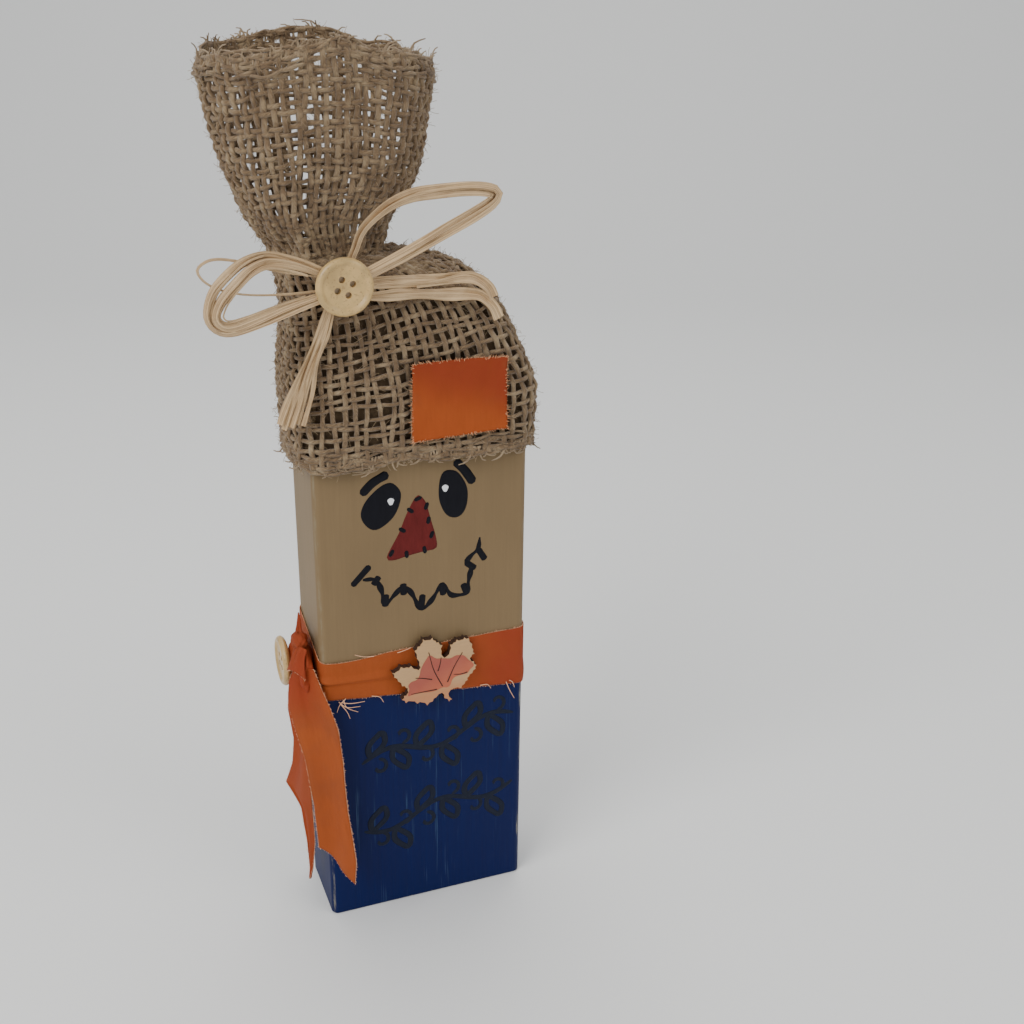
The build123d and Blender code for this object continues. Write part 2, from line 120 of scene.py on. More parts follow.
class Graph(Nodes):
    """Builds one material's node tree, ending in a Principled shader."""

    prefix = "ShaderNode"

    def __init__(self, name: str) -> None:
        """Start an empty material called name."""
        self.material = bpy.data.materials.new(name)
        self.material.use_nodes = True
        self.tree = self.material.node_tree
        self.tree.nodes.clear()
        self.place = self.add("TexCoord").outputs["Object"]

    def stretched(self, scale: tuple | float, source: Socket | None = None) -> Socket:
        """Object coordinates, or the source's, scaled in repeats per metre."""
        if not isinstance(scale, tuple):
            scale = (scale, scale, scale)
        return self.add("Mapping", {"Vector": source or self.place, "Scale": scale}).outputs[0]

    def axes(self, source: Socket | None = None) -> list:
        """X, Y and Z of a vector as three sockets."""
        return list(self.add("SeparateXYZ", {0: source or self.place}).outputs)

    def uv(self, name: str) -> Socket:
        """A UV map of the mesh."""
        return self.add("UVMap", uv_map=name).outputs[0]

    def math(self, operation: str, first: Value, second: Value = 0.0,
             clamp: bool = False) -> Socket:
        """One math step on two values or sockets."""
        node = self.add("Math", {0: first, 1: second}, operation=operation, use_clamp=clamp)
        return node.outputs[0]

    def plus(self, first: Value, second: Value, clamp: bool = False) -> Socket:
        """Sum of two values."""
        return self.math("ADD", first, second, clamp)

    def minus(self, first: Value, second: Value) -> Socket:
        """First less second."""
        return self.math("SUBTRACT", first, second)

    def times(self, first: Value, second: Value) -> Socket:
        """Product of two values."""
        return self.math("MULTIPLY", first, second)

    def noise(self, scale: tuple | float, detail: float = 3.0, rough: float = 0.55,
              source: Socket | None = None) -> Socket:
        """Fractal noise from 0 to 1, with its repeats per metre along each axis."""
        node = self.add("TexNoise", {"Vector": self.stretched(scale, source), "Scale": 1.0,
                                     "Detail": detail, "Roughness": rough})
        return node.outputs[0]

    def steps(self, factor: Value, low: float, high: float) -> Socket:
        """0 below low, 1 above high and smooth between."""
        node = self.add("MapRange", {0: factor, 1: low, 2: high, 3: 0.0, 4: 1.0},
                        interpolation_type="SMOOTHSTEP")
        return node.outputs[0]

    def ramp(self, factor: Socket, stops: list) -> Socket:
        """Colour ramp of (position, (r, g, b)) stops."""
        node = self.add("ValToRGB", {0: factor})
        ramp = node.color_ramp
        while len(ramp.elements) < len(stops):
            ramp.elements.new(0.5)
        for element, (position, colour) in zip(ramp.elements, stops):
            element.position = position
            element.color = (*colour, 1)
        return node.outputs[0]

    def mix(self, factor: Value, first: Colour, second: Colour) -> Socket:
        """Mix two colours; tuples of three are colours."""
        inputs = {key: value if isinstance(value, Socket) else (*value, 1)
                  for key, value in ((6, first), (7, second))}
        return self.add("Mix", {0: factor, **inputs}, data_type="RGBA").outputs[2]

    def bump(self, height: Socket, distance: float, strength: float = 1.0) -> Socket:
        """Normal bent by a height, with the relief's depth in metres."""
        return self.add("Bump", {"Height": height, "Distance": distance,
                                 "Strength": strength}).outputs[0]

    def finish(self, colour: Colour, roughness: float, normal: Socket | None = None,
               **constants) -> Material:
        """Close the graph with a Principled shader.

        Args:
            colour: base colour as a socket or three numbers.
            roughness: how matt it is.
            normal: bump output, if any.
            constants: further Principled inputs, with underscores for spaces.

        Returns:
            The finished material.
        """
        inputs = {"Base Color": colour if isinstance(colour, Socket) else (*colour, 1),
                  "Roughness": roughness}
        if normal is not None:
            inputs["Normal"] = normal
        inputs.update({key.replace("_", " "): value for key, value in constants.items()})
        shader = self.add("BsdfPrincipled", inputs)
        self.add("OutputMaterial", {"Surface": shader.outputs[0]})
        return self.material


def shade(colour: tuple, share: float) -> tuple:
    """A colour made darker or lighter by a share."""
    return tuple(c * share for c in colour)


class NodeTree(Nodes):
    """Builds one Geometry Nodes group with named inputs."""

    def __init__(self, name: str, inputs: list) -> None:
        """Start a group.

        Args:
            name: the group's name.
            inputs: (name, socket type, default) for each input after the geometry.
        """
        self.tree = bpy.data.node_groups.new(name, "GeometryNodeTree")
        face = self.tree.interface
        for way in ("INPUT", "OUTPUT"):
            face.new_socket("Geometry", in_out=way, socket_type="NodeSocketGeometry")
        for label, kind, default in inputs:
            socket = face.new_socket(label, in_out="INPUT", socket_type="NodeSocket" + kind)
            if default is not None:
                socket.default_value = default
        self.entry = self.tree.nodes.new("NodeGroupInput")
        self.exit = self.tree.nodes.new("NodeGroupOutput")

    def given(self, label: str) -> Socket:
        """Output socket of one of the group's inputs."""
        return self.entry.outputs[label]

    def named(self, label: str, kind: str = "FLOAT") -> Socket:
        """A named attribute of the incoming geometry."""
        node = self.add("GeometryNodeInputNamedAttribute", {"Name": label}, data_type=kind)
        return node.outputs["Attribute"]

    def position(self) -> Socket:
        """Each point's position."""
        return self.add("GeometryNodeInputPosition").outputs[0]

    def math(self, operation: str, *values: Value) -> Socket:
        """One math step on up to three values."""
        return self.add("ShaderNodeMath", dict(enumerate(values)),
                        operation=operation).outputs[0]

    def combine(self, *values: Value) -> Socket:
        """A vector of three values."""
        return self.add("ShaderNodeCombineXYZ", dict(enumerate(values))).outputs[0]

    def product(self, first: Socket, second: Socket) -> Socket:
        """Two vectors multiplied axis by axis."""
        return self.add("ShaderNodeVectorMath", {0: first, 1: second},
                        operation="MULTIPLY").outputs[0]

    def keep(self, geometry: Socket, name: str, output: str) -> Node:
        """Capture the spline parameter's output on a curve."""
        along = self.add("GeometryNodeSplineParameter")
        node = self.add("GeometryNodeCaptureAttribute", {0: geometry})
        node.capture_items.new("FLOAT", name)
        self.tree.links.new(along.outputs[output], node.inputs[1])
        return node

    def close(self, geometry: Socket) -> bpy.types.NodeTree:
        """Realize the instances, set the material and end the group."""
        real = self.add("GeometryNodeRealizeInstances", {"Geometry": geometry})
        dressed = self.add("GeometryNodeSetMaterial", {
            "Geometry": real.outputs[0], "Material": self.given("Material")})
        self.tree.links.new(dressed.outputs[0], self.exit.inputs[0])
        return self.tree


@dataclass
class Strand:
    """A centre line for one yarn, raffia strand, thread or brush stroke.

    points: its points in metres. facing: the direction its flat side faces, one for the
    strand or one for each point. reach: share of full size, one or one for each point.
    """

    points: Array
    facing: Array | tuple = (0.0, -1.0, 0.0)
    reach: Array | float = 1.0
    closed: bool = False


@cache
def sweep_tree() -> bpy.types.NodeTree:
    """Group that sweeps an oval along paths, for yarns, strands, threads and brush strokes.

    Each path point carries reach (a share of the oval) and facing (the oval's flat side).

    Returns:
        The group.
    """
    ridge_waves = 56.5
    group = NodeTree("sweep_along_paths", [
        ("Width", "Float", 0.001), ("Thickness", "Float", 0.001), ("Sides", "Int", 6),
        ("Slub", "Float", 0.0), ("Slub Length", "Float", 0.01), ("Seed", "Float", 0.0),
        ("Ridges", "Float", 0.0), ("Material", "Material", None)])
    curve = group.add("GeometryNodeMeshToCurve", {"Mesh": group.given("Geometry")})
    normal = group.add("GeometryNodeSetCurveNormal", {
        "Curve": curve.outputs[0], "Normal": group.named("facing", "FLOAT_VECTOR")},
        mode="FREE")
    noise = group.add("ShaderNodeTexNoise", {
        "Vector": group.position(), "W": group.given("Seed"),
        "Scale": group.math("DIVIDE", 1.0, group.given("Slub Length")), "Detail": 1.0},
        noise_dimensions="4D")
    swing = group.math("SUBTRACT", noise.outputs[0], 0.5)
    slub = group.math("MULTIPLY_ADD", swing, group.given("Slub"), 1.0)
    reach = group.math("MULTIPLY", slub, group.named("reach"))
    sized = group.add("GeometryNodeSetCurveRadius", {"Curve": normal.outputs[0],
                                                     "Radius": reach})
    path = group.keep(sized.outputs[0], "along", "Length")
    circle = group.add("GeometryNodeCurvePrimitiveCircle", {
        "Resolution": group.given("Sides"), "Radius": 0.5})
    ring = group.keep(circle.outputs[0], "around", "Factor")
    wave = group.math("SINE", group.math("MULTIPLY", ring.outputs[1], ridge_waves))
    rib = group.math("MULTIPLY_ADD", wave, group.given("Ridges"), 1.0)
    size = group.combine(group.given("Thickness"), group.given("Width"), 1.0)
    flat = group.product(size, group.combine(rib, 1.0, 1.0))
    oval = group.add("GeometryNodeSetPosition", {
        "Geometry": ring.outputs[0], "Position": group.product(group.position(), flat)})
    mesh = group.add("GeometryNodeCurveToMesh", {
        "Curve": path.outputs[0], "Profile Curve": oval.outputs[0], "Scale": reach,
        "Fill Caps": True})
    stored = group.add("GeometryNodeStoreNamedAttribute", {
        "Geometry": mesh.outputs[0], "Name": "path_uv",
        "Value": group.combine(path.outputs[1], ring.outputs[1])},
        data_type="FLOAT2", domain="CORNER")
    return group.close(group.add("GeometryNodeSetShadeSmooth", {0: stored.outputs[0]}).outputs[0])


@cache
def hair_tree() -> bpy.types.NodeTree:
    """Group that grows short bent fibres from a mesh, as burlap and torn cloth do."""
    group = NodeTree("grow_fibres", [
        ("Density", "Float", 1000.0), ("Length", "Float", 0.004), ("Width", "Float", 0.0001),
        ("Lean", "Float", 1.0), ("Seed", "Int", 1), ("Material", "Material", None)])
    points = group.add("GeometryNodeDistributePointsOnFaces", {
        "Mesh": group.given("Geometry"), "Density": group.given("Density"),
        "Seed": group.given("Seed")})
    bend = group.add("GeometryNodeCurveQuadraticBezier", {
        "Resolution": 4, "Start": (0, 0, -0.1), "Middle": (0.0, 0.1, 0.55),
        "End": (0.35, 0.0, 0.9)})
    ring = group.add("GeometryNodeCurvePrimitiveCircle", {"Resolution": 3})
    across = group.math("DIVIDE", group.given("Width"), group.given("Length"))
    thin = group.add("GeometryNodeSetCurveRadius", {"Curve": bend.outputs[0],
                                                    "Radius": across})
    fibre = group.add("GeometryNodeCurveToMesh", {
        "Curve": thin.outputs[0], "Profile Curve": ring.outputs[0], "Scale": across})
    spin = group.add("FunctionNodeRandomValue", {
        0: (-1, -1, -3.14), 1: (1, 1, 3.14), "Seed": group.given("Seed")},
        data_type="FLOAT_VECTOR")
    lean = group.product(spin.outputs[0], group.combine(
        group.given("Lean"), group.given("Lean"), 1.0))
    turned = group.add("FunctionNodeRotateRotation", {
        0: points.outputs["Rotation"], 1: lean}, rotation_space="LOCAL")
    share = group.add("FunctionNodeRandomValue", {2: 0.35, 3: 1.0}, data_type="FLOAT")
    hairs = group.add("GeometryNodeInstanceOnPoints", {
        "Points": points.outputs[0], "Instance": fibre.outputs[0],
        "Rotation": turned.outputs[0],
        "Scale": group.math("MULTIPLY", share.outputs[1], group.given("Length"))})
    return group.close(hairs.outputs[0])


# ---------------------------------------------------------------------- mesh helpers
def run_tree(obj: Piece, tree: bpy.types.NodeTree,
             values: dict) -> Piece:
    """Run a node group on an object and keep the result as a plain mesh.

    Args:
        obj: the object whose geometry goes in; its mesh is replaced.
        tree: the group.
        values: the group's input names and their values.

    Returns:
        The same object.
    """
    modifier = obj.modifiers.new("nodes", "NODES")
    modifier.node_group = tree
    for item in tree.interface.items_tree:
        if item.item_type == "SOCKET" and item.in_out == "INPUT" and item.name in values:
            modifier[item.identifier] = values[item.name]
    obj.update_tag()
    graph = bpy.context.evaluated_depsgraph_get()
    mesh = bpy.data.meshes.new_from_object(obj.evaluated_get(graph))
    obj.modifiers.clear()
    before = obj.data
    obj.data = mesh
    mesh.name = obj.name
    bpy.data.meshes.remove(before)
    return obj


def new_object(name: str, vertices: list | Array, faces: list,
               material: Material | None = None,
               edges: list | tuple = ()) -> Piece:
    """Make a smooth mesh object at the origin."""
    mesh = bpy.data.meshes.new(name)
    mesh.from_pydata([tuple(map(float, v)) for v in vertices], list(edges), faces)
    if material is not None:
        mesh.materials.append(material)
    mesh.polygons.foreach_set("use_smooth", [True] * len(mesh.polygons))
    obj = bpy.data.objects.new(name, mesh)
    bpy.context.scene.collection.objects.link(obj)
    return obj


def strands_object(name: str, strands: list) -> Piece:
    """Make an edge mesh that carries each strand's facing and reach for the sweep."""
    points, edges, facing, reach = [], [], [], []
    for strand in strands:
        line = np.asarray(strand.points, float)
        first, count = len(points), len(line)
        points.extend(line)
        edges.extend((first + i, first + i + 1) for i in range(count - 1))
        if strand.closed:
            edges.append((first + count - 1, first))
        facing.extend(np.broadcast_to(np.asarray(strand.facing, float), (count, 3)))
        reach.extend(np.broadcast_to(np.asarray(strand.reach, float), (count,)))
    obj = new_object(name, points, [], edges=edges)
    for label, kind, key, values in (("facing", "FLOAT_VECTOR", "vector", facing),
                                     ("reach", "FLOAT", "value", reach)):
        put = obj.data.attributes.new(label, kind, "POINT")
        put.data.foreach_set(key, np.asarray(values, np.float32).ravel())
    return obj


def swept(name: str, strands: list, material: Material,
          width: float, thickness: float | None = None, sides: int = 6,
          slub: tuple = (0.0, 0.01), seed: float = 0.0, ridges: float = 0.0
          ) -> Piece:
    """Sweep an oval along strands.

    Args:
        name: the piece's name.
        strands: their centre lines.
        material: its material.
        width: the oval's width in metres.
        thickness: its thickness in metres; the same as the width if left out.
        sides: how many sides the oval has.
        slub: share by which it swells and shrinks, and over what length in metres.
        seed: for the swelling.
        ridges: share by which lengthwise ridges stand out.

    Returns:
        The mesh piece.
    """
    return run_tree(strands_object(name, strands), sweep_tree(), {
        "Width": width, "Thickness": width if thickness is None else thickness,
        "Sides": sides, "Slub": slub[0], "Slub Length": slub[1], "Seed": seed,
        "Ridges": ridges, "Material": material})


def mount(pieces: list) -> None:
    """Fix pieces to the figure."""
    for piece in pieces:
        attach(piece, FIGURE)


def even_line(points: Array | list, count: int, closed: bool = False,
              smooth: bool = True) -> Array:
    """Points evenly spaced along a smooth curve through the given points.

    Args:
        points: points in two or three numbers each.
        count: how many points come back.
        closed: whether the curve joins its own start.
        smooth: a Catmull-Rom curve; otherwise straight between the points.

    Returns:
        An array of count points.
    """
    steps_between = 12
    knots = np.asarray(points, float)
    if closed:
        knots = np.vstack([knots, knots[:1]])
    if smooth:
        before = knots[-2] if closed else 2 * knots[0] - knots[1]
        after = knots[1] if closed else 2 * knots[-1] - knots[-2]
        padded = np.vstack([before, knots, after])
        t = np.linspace(0, 1, steps_between, endpoint=False)[:, None]
        pieces = []
        for i in range(1, len(padded) - 2):
            a, b, c, d = padded[i - 1:i + 3]
            pieces.append(0.5 * (2 * b + (c - a) * t + (2 * a - 5 * b + 4 * c - d) * t ** 2
                                 + (3 * b - a - 3 * c + d) * t ** 3))
        knots = np.vstack(pieces + [knots[-1:]])
    run = run_of(knots)
    where = np.linspace(0, run[-1], count, endpoint=not closed)
    return np.stack([np.interp(where, run, knots[:, k]) for k in range(knots.shape[1])], 1)


def flat_line(points: tuple | Array, count: int, y: float) -> Array:
    """Smooth line through x, z points in millimetres, laid on the plane y."""
    line = even_line(np.asarray(points) * MM, count)
    return np.stack([line[:, 0], np.full(count, y), line[:, 1]], 1)


def brush_stroke(points: tuple | Array, front: float, weight: float = 1.0,
                 count: int = 14, ends: float = 0.45, swell: float = 1.1) -> Strand:
    """One brush stroke that thins to its ends.

    Args:
        points: x, z points in millimetres.
        front: y of the painted face.
        weight: share of the brush's full width.
        count: how many points the stroke has.
        ends: its share of full width at its ends.
        swell: how fast it widens away from them.

    Returns:
        The stroke's centre line.
    """
    t = np.linspace(0, 1, count)
    reach = weight * np.clip(ends + swell * np.sqrt(np.sin(np.pi * t).clip(0)), 0, 1)
    return Strand(flat_line(points, count, front), reach=reach)


def signed_area(line: Array) -> float:
    """Twice an outline's area, positive where it runs anticlockwise."""
    after = np.roll(line, -1, 0)
    return float(np.sum(line[:, 0] * after[:, 1] - after[:, 0] * line[:, 1]))


def run_of(points: Array) -> Array:
    """Length along a line up to each of its points."""
    return np.concatenate([[0], np.cumsum(np.linalg.norm(np.diff(points, axis=0), axis=1))])


def unit(vectors: Array) -> Array:
    """Vectors scaled to length 1."""
    vectors = np.asarray(vectors, float)
    return vectors / np.maximum(np.linalg.norm(vectors, axis=-1, keepdims=True), 1e-12)


def slab(name: str, grid: Array, thickness: float, material: Material,
         wrap: bool = False) -> Piece:
    """Make a closed thin sheet from a grid of its middle surface, with its flat UV map.

    Args:
        name: the piece's name.
        grid: rows by columns by 3, in metres.
        thickness: sheet thickness in metres.
        material: its material.
        wrap: whether the last column joins the first.

    Returns:
        The sheet, with UV map cloth_uv in metres along its columns and rows.
    """
    rows, columns = grid.shape[:2]
    along = np.gradient(grid, axis=1)
    if wrap:
        along = (np.roll(grid, -1, 1) - np.roll(grid, 1, 1)) / 2
    normal = unit(np.cross(along, np.gradient(grid, axis=0)))
    points = np.concatenate([(grid + normal * thickness / 2).reshape(-1, 3),
                             (grid - normal * thickness / 2).reshape(-1, 3)])
    back = rows * columns
    faces = []
    last = columns if wrap else columns - 1
    for r in range(rows - 1):
        for c in range(last):
            a, b = r * columns + c, r * columns + (c + 1) % columns
            d, e = a + columns, b + columns
            faces += [(a, b, e, d), (b + back, a + back, d + back, e + back)]
    for c in range(last):
        a, b = c, (c + 1) % columns
        faces.append((a, a + back, b + back, b))
        a, b = a + (rows - 1) * columns, b + (rows - 1) * columns
        faces.append((b, b + back, a + back, a))
    if not wrap:
        for r in range(rows - 1):
            a, d = r * columns, (r + 1) * columns
            faces.append((a, d, d + back, a + back))
            a, d = a + columns - 1, d + columns - 1
            faces.append((d, a, a + back, d + back))
    obj = new_object(name, points, faces, material)
    across = np.linalg.norm(np.diff(grid, axis=1), axis=2).mean(0)
    down = np.linalg.norm(np.diff(grid, axis=0), axis=2).mean(1)
    u = np.concatenate([[0], np.cumsum(across)])
    v = np.concatenate([[0], np.cumsum(down)])
    flat = np.stack(np.meshgrid(u, v), -1).reshape(-1, 2)
    flat = np.concatenate([flat, flat])
    layer = obj.data.uv_layers.new(name="cloth_uv")
    corner = np.zeros(len(obj.data.loops), np.int32)
    obj.data.loops.foreach_get("vertex_index", corner)
    layer.data.foreach_set("uv", flat[corner].astype(np.float32).ravel())
    return obj


def plate(name: str, outline: Array, back: float, height: float,
          material: Material, dome: float = 0.35) -> Piece:
    """Make a thin raised shape of paint on the front, with its edge rounded off.

    Args:
        name: the piece's name.
        outline: x and z points around the shape, in metres.
        back: y of its rear.
        height: how far it stands forward.
        material: its material.
        dome: share of the height that the middle rises above the edge.

    Returns:
        The closed shape.
    """
    line = outline if signed_area(outline) > 0 else outline[::-1]
    middle = line.mean(0)
    count = len(line)
    rings = [(1.0, 0.0), (1.0, height * (1 - dome)), (0.93, height * (1 - dome * 0.6)),
             (0.6, height * (1 - dome * 0.2)), (0.25, height)]
    points = []
    for share, rise in rings:
        for x, z in middle + (line - middle) * share:
            points.append((x, back - rise, z))
    points.append((middle[0], back - height, middle[1]))
    faces = [tuple(range(count))[::-1]]
    for ring in range(len(rings) - 1):
        for i in range(count):
            a, b = ring * count + i, ring * count + (i + 1) % count
            faces.append((a, b, b + count, a + count))
    top = (len(rings) - 1) * count
    faces += [(top + i, top + (i + 1) % count, len(points) - 1) for i in range(count)]
    return new_object(name, points, faces, material)


def periodic_noise(u: Array, v: Array, seed: int, waves: int = 5,
                   u_max: int = 4, v_max: float = 4.0) -> Array:
    """Smooth noise of about -1 to 1 that repeats when u passes 1."""
    dice = np.random.default_rng(seed)
    total = np.zeros(np.broadcast(u, v).shape)
    for _ in range(waves):
        turns, drift = dice.integers(1, u_max + 1), dice.uniform(-v_max, v_max)
        total += np.sin(2 * np.pi * (turns * u + drift * v + dice.uniform()))
    return total / math.sqrt(waves)


# -------------------------------------------------------------------------- finishes
@dataclass(frozen=True)
class BlockPaint:
    """Two brushed paints on the block, rubbed pale along its edges."""

    tan: tuple = (0.215, 0.146, 0.074)
    blue: tuple = (0.0008, 0.0062, 0.060)
    scratch: tuple = (0.075, 0.15, 0.24)
    bare: tuple = (0.36, 0.34, 0.25)
    colour_change: float = 115.5 * MM
    wobble: float = 1.5 * MM
    arris: float = 1.2 * MM
    wear: float = 2.6 * MM
    wear_on_blue: float = 0.85
    wear_on_tan: float = 0.35
    relief: float = 0.3 * MM

    def edge_distance(self, g: Graph, low: Vector, high: Vector) -> Socket:
        """Distance from the nearest edge of the block, measured along its faces."""
        x, y, z = g.axes()
        near_x = g.minus((high.x - low.x) / 2, g.math("ABSOLUTE", x))
        near_y = g.minus((high.y - low.y) / 2, g.math("ABSOLUTE", y))
        upright = g.minus(g.plus(near_x, near_y), self.arris)
        end = g.math("MINIMUM", g.minus(z, low.z), g.minus(high.z, z))
        end = g.plus(end, g.math("MINIMUM", near_x, near_y))
        return g.math("MINIMUM", upright, end)

    def material(self, low: Vector, high: Vector) -> Material:
        """Make the paint for a block between two corners.

        Args:
            low: the block's lowest corner.
            high: its highest corner.

        Returns:
            The material, reading Object coordinates.
        """
        g = Graph("brushed_two_tone_paint")
        wobble = g.times(g.minus(g.noise((90, 90, 30), 2), 0.5), self.wobble)
        upper = g.steps(g.plus(g.axes()[2], wobble), self.colour_change - 0.1 * MM,
                        self.colour_change + 0.1 * MM)
        streaks = g.noise((900, 900, 22), 3, 0.7)
        cloud = g.steps(g.noise((30, 30, 12)), 0.35, 0.75)
        tan = g.mix(streaks, shade(self.tan, 0.88), shade(self.tan, 1.1))
        tan = g.mix(cloud, tan, shade(self.tan, 0.9))
        blue = g.mix(streaks, shade(self.blue, 0.8), shade(self.blue, 1.25))
        fine = g.steps(g.noise((1500, 1500, 26), 1), 0.63, 0.76)
        patches = g.steps(g.noise((130, 130, 40), 2), 0.42, 0.70)
        blue = g.mix(g.times(g.times(fine, patches), 0.5), blue, self.scratch)
        chips = g.times(g.minus(g.noise((420, 420, 55), 5, 0.72), 0.30), self.wear)
        worn = g.steps(g.minus(chips, self.edge_distance(g, low, high)), -0.2 * MM, 0.4 * MM)
        worn = g.times(worn, g.add("MapRange", {0: upper, 3: self.wear_on_blue,
                                                4: self.wear_on_tan}).outputs[0])
        wood = g.mix(g.noise((500, 500, 30), 2), self.bare, shade(self.bare, 0.72))
        colour = g.mix(worn, g.mix(upper, blue, tan), wood)
        height = g.plus(g.times(streaks, 0.6), g.noise((140, 140, 6), 4))
        height = g.minus(height, g.times(worn, 0.3))
        return g.finish(colour, 0.5, g.bump(height, self.relief, 0.5), Specular_IOR_Level=0.15)


@dataclass(frozen=True)
class FlatPaint:
    """A hand-brushed craft paint, a paint pen line or a dyed thread."""

    name: str
    colour: tuple
    roughness: float = 0.45
    patchy: float = 0.25

    def material(self) -> Material:
        """Make the paint material."""
        g = Graph(self.name)
        streaks = g.noise((420, 420, 90), 3, 0.7)
        light = tuple(min(1, c * (1 + self.patchy) + 0.004) for c in self.colour)
        return g.finish(g.mix(streaks, shade(self.colour, 1 - self.patchy), light),
                        self.roughness, g.bump(streaks, 0.2 * MM, 0.4),
                        Specular_IOR_Level=0.12)


@dataclass(frozen=True)
class JuteYarn:
    """Jute: brown twisted fibre, paler where it is thick, with dark flecks."""

    name: str = "burlap_yarn"
    dark: tuple = (0.085, 0.052, 0.026)
    middle: tuple = (0.196, 0.127, 0.069)
    light: tuple = (0.46, 0.345, 0.205)
    fibres_along: float = 260.0
    fibres_around: float = 9.0
    twist: float = 900.0

    def material(self) -> Material:
        """Make the yarn material, twisted along its sweep's own UV map."""
        g = Graph(self.name)
        along, around, _ = g.axes(g.uv("path_uv"))
        helix = g.plus(g.times(around, self.fibres_around), g.times(along, self.twist))
        twisted = g.add("CombineXYZ", {0: g.times(along, self.fibres_along), 1: helix})
        fibres = g.noise(1, 3, 0.7, twisted.outputs[0])
        tone = g.plus(g.times(fibres, 0.55), g.times(g.noise(160, 2), 0.5), True)
        colour = g.ramp(tone, [(0.28, self.dark), (0.5, self.middle), (0.75, self.light)])
        return g.finish(colour, 0.9, g.bump(fibres, 0.4 * MM, 0.9), Specular_IOR_Level=0.15,
                        Sheen_Weight=0.25)


@dataclass(frozen=True)
class InnerBurlapPaintedShade:
    """Inside burlap layer that shows between the cap's yarns, coloured dark as painted shade for the
    hollow of the cap.
    """

    # shadow and thread are both painted shade: darker than the yarns to stand in for the shade inside
    # the cap
    shadow: tuple = (0.040, 0.026, 0.014)
    thread: tuple = (0.165, 0.110, 0.064)

    def material(self) -> Material:
        """Make the layer's material, its dark colours painted shade."""
        g = Graph("inner_burlap_painted_shade")
        threads = g.noise((700, 700, 900), 3, 0.8)
        return g.finish(g.mix(threads, self.shadow, self.thread), 0.95,
                        g.bump(threads, 0.8 * MM, 0.8), Specular_IOR_Level=0.1)


@dataclass(frozen=True)
class RaffiaStraw:
    """Dried raffia: pale silky straw with long fine ribs and tan streaks."""

    pale: tuple = (0.70, 0.49, 0.26)
    deep: tuple = (0.34, 0.19, 0.08)
    ribs_along: float = 14.0
    ribs_around: float = 13.0

    def material(self) -> Material:
        """Make the straw material, ribbed along its sweep's own UV map."""
        g = Graph("raffia_straw")
        along, around, _ = g.axes(g.uv("path_uv"))
        ribbed = g.add("CombineXYZ", {0: g.times(along, self.ribs_along),
                                      1: g.times(around, self.ribs_around)})
        ribs = g.noise(1, 3, 0.6, ribbed.outputs[0])
        tone = g.plus(g.times(g.steps(ribs, 0.25, 0.75), 0.6), g.times(g.noise(110), 0.45),
                      True)
        tan = tuple((a + 2 * b) / 3 for a, b in zip(self.deep, self.pale))
        colour = g.ramp(tone, [(0.30, self.deep), (0.48, tan), (0.68, self.pale)])
        return g.finish(colour, 0.42, g.bump(ribs, 0.5 * MM, 0.8), Sheen_Weight=0.15)


@dataclass(frozen=True)
class RibbonCloth:
    """Hand-dyed ribbon that runs from orange to red, with a fine rib weave whose raised crowns carry a
    painted highlight.
    """

    name: str
    orange: tuple = (0.40, 0.082, 0.018)
    red: tuple = (0.31, 0.035, 0.015)
    dusty: tuple = (0.235, 0.062, 0.026)
    # painted highlight colour for the weave's raised crowns
    crown_highlight: tuple = (0.62, 0.17, 0.045)
    rib: float = 0.45 * MM

    def material(self, redness: Callable) -> Material:
        """Make the ribbon cloth.

        Args:
            redness: function of the graph that gives the 0 to 1 share of red.

        Returns:
            The material, its weave following the sheet's own UV map.
        """
        g = Graph(self.name)
        cloth = g.uv("cloth_uv")
        u, v, _ = g.axes(cloth)
        weft, warp = (g.math("SINE", g.times(axis, FULL_TURN / self.rib)) for axis in (u, v))
        weave = g.times(weft, warp)
        uneven = g.noise((900, 90, 1), 3, 0.7, cloth)
        blotch = g.times(g.minus(g.noise(60), 0.5), 0.7)
        colour = g.mix(g.plus(redness(g), blotch, True), self.orange, self.red)
        faded = g.steps(g.noise(38, 4, 0.6), 0.5, 0.72)
        colour = g.mix(g.times(faded, 0.55), colour, self.dusty)
        colour = g.mix(g.times(uneven, 0.60), colour, shade(self.orange, 0.55))
        # painted highlight: lighter where the weave stands highest
        colour = g.mix(g.times(g.steps(weave, 0.1, 0.9), 0.34), colour, self.crown_highlight)
        return g.finish(colour, 0.7, g.bump(g.plus(weave, uneven), 0.1 * MM, 0.5),
                        Specular_IOR_Level=0.15)


@dataclass(frozen=True)
class CoconutShell:
    """Speckled pale button shell with darker flecks."""

    pale: tuple = (0.62, 0.41, 0.16)
    fleck: tuple = (0.26, 0.14, 0.05)

    def material(self) -> Material:
        """Make the button material from Object coordinates."""
        g = Graph("coconut_shell")
        cloud = g.noise(150, 4)
        specks = g.steps(g.noise(1300, 2), 0.60, 0.70)
        colour = g.mix(g.steps(cloud, 0.35, 0.7), self.pale, shade(self.pale, 0.72))
        colour = g.mix(g.times(specks, 0.6), colour, self.fleck)
        return g.finish(colour, 0.34, g.bump(cloud, 0.3 * MM, 0.3), Coat_Weight=0.15)


@dataclass(frozen=True)
class GluePool:
    """Clear hot glue, slightly cloudy."""

    clear: tuple = (0.70, 0.62, 0.48)
    cloudy: tuple = (0.8, 0.74, 0.6)

    def material(self) -> Material:
        """Make the glue material."""
        g = Graph("hot_melt_glue")
        return g.finish(g.mix(g.noise(400), self.clear, self.cloudy), 0.25)


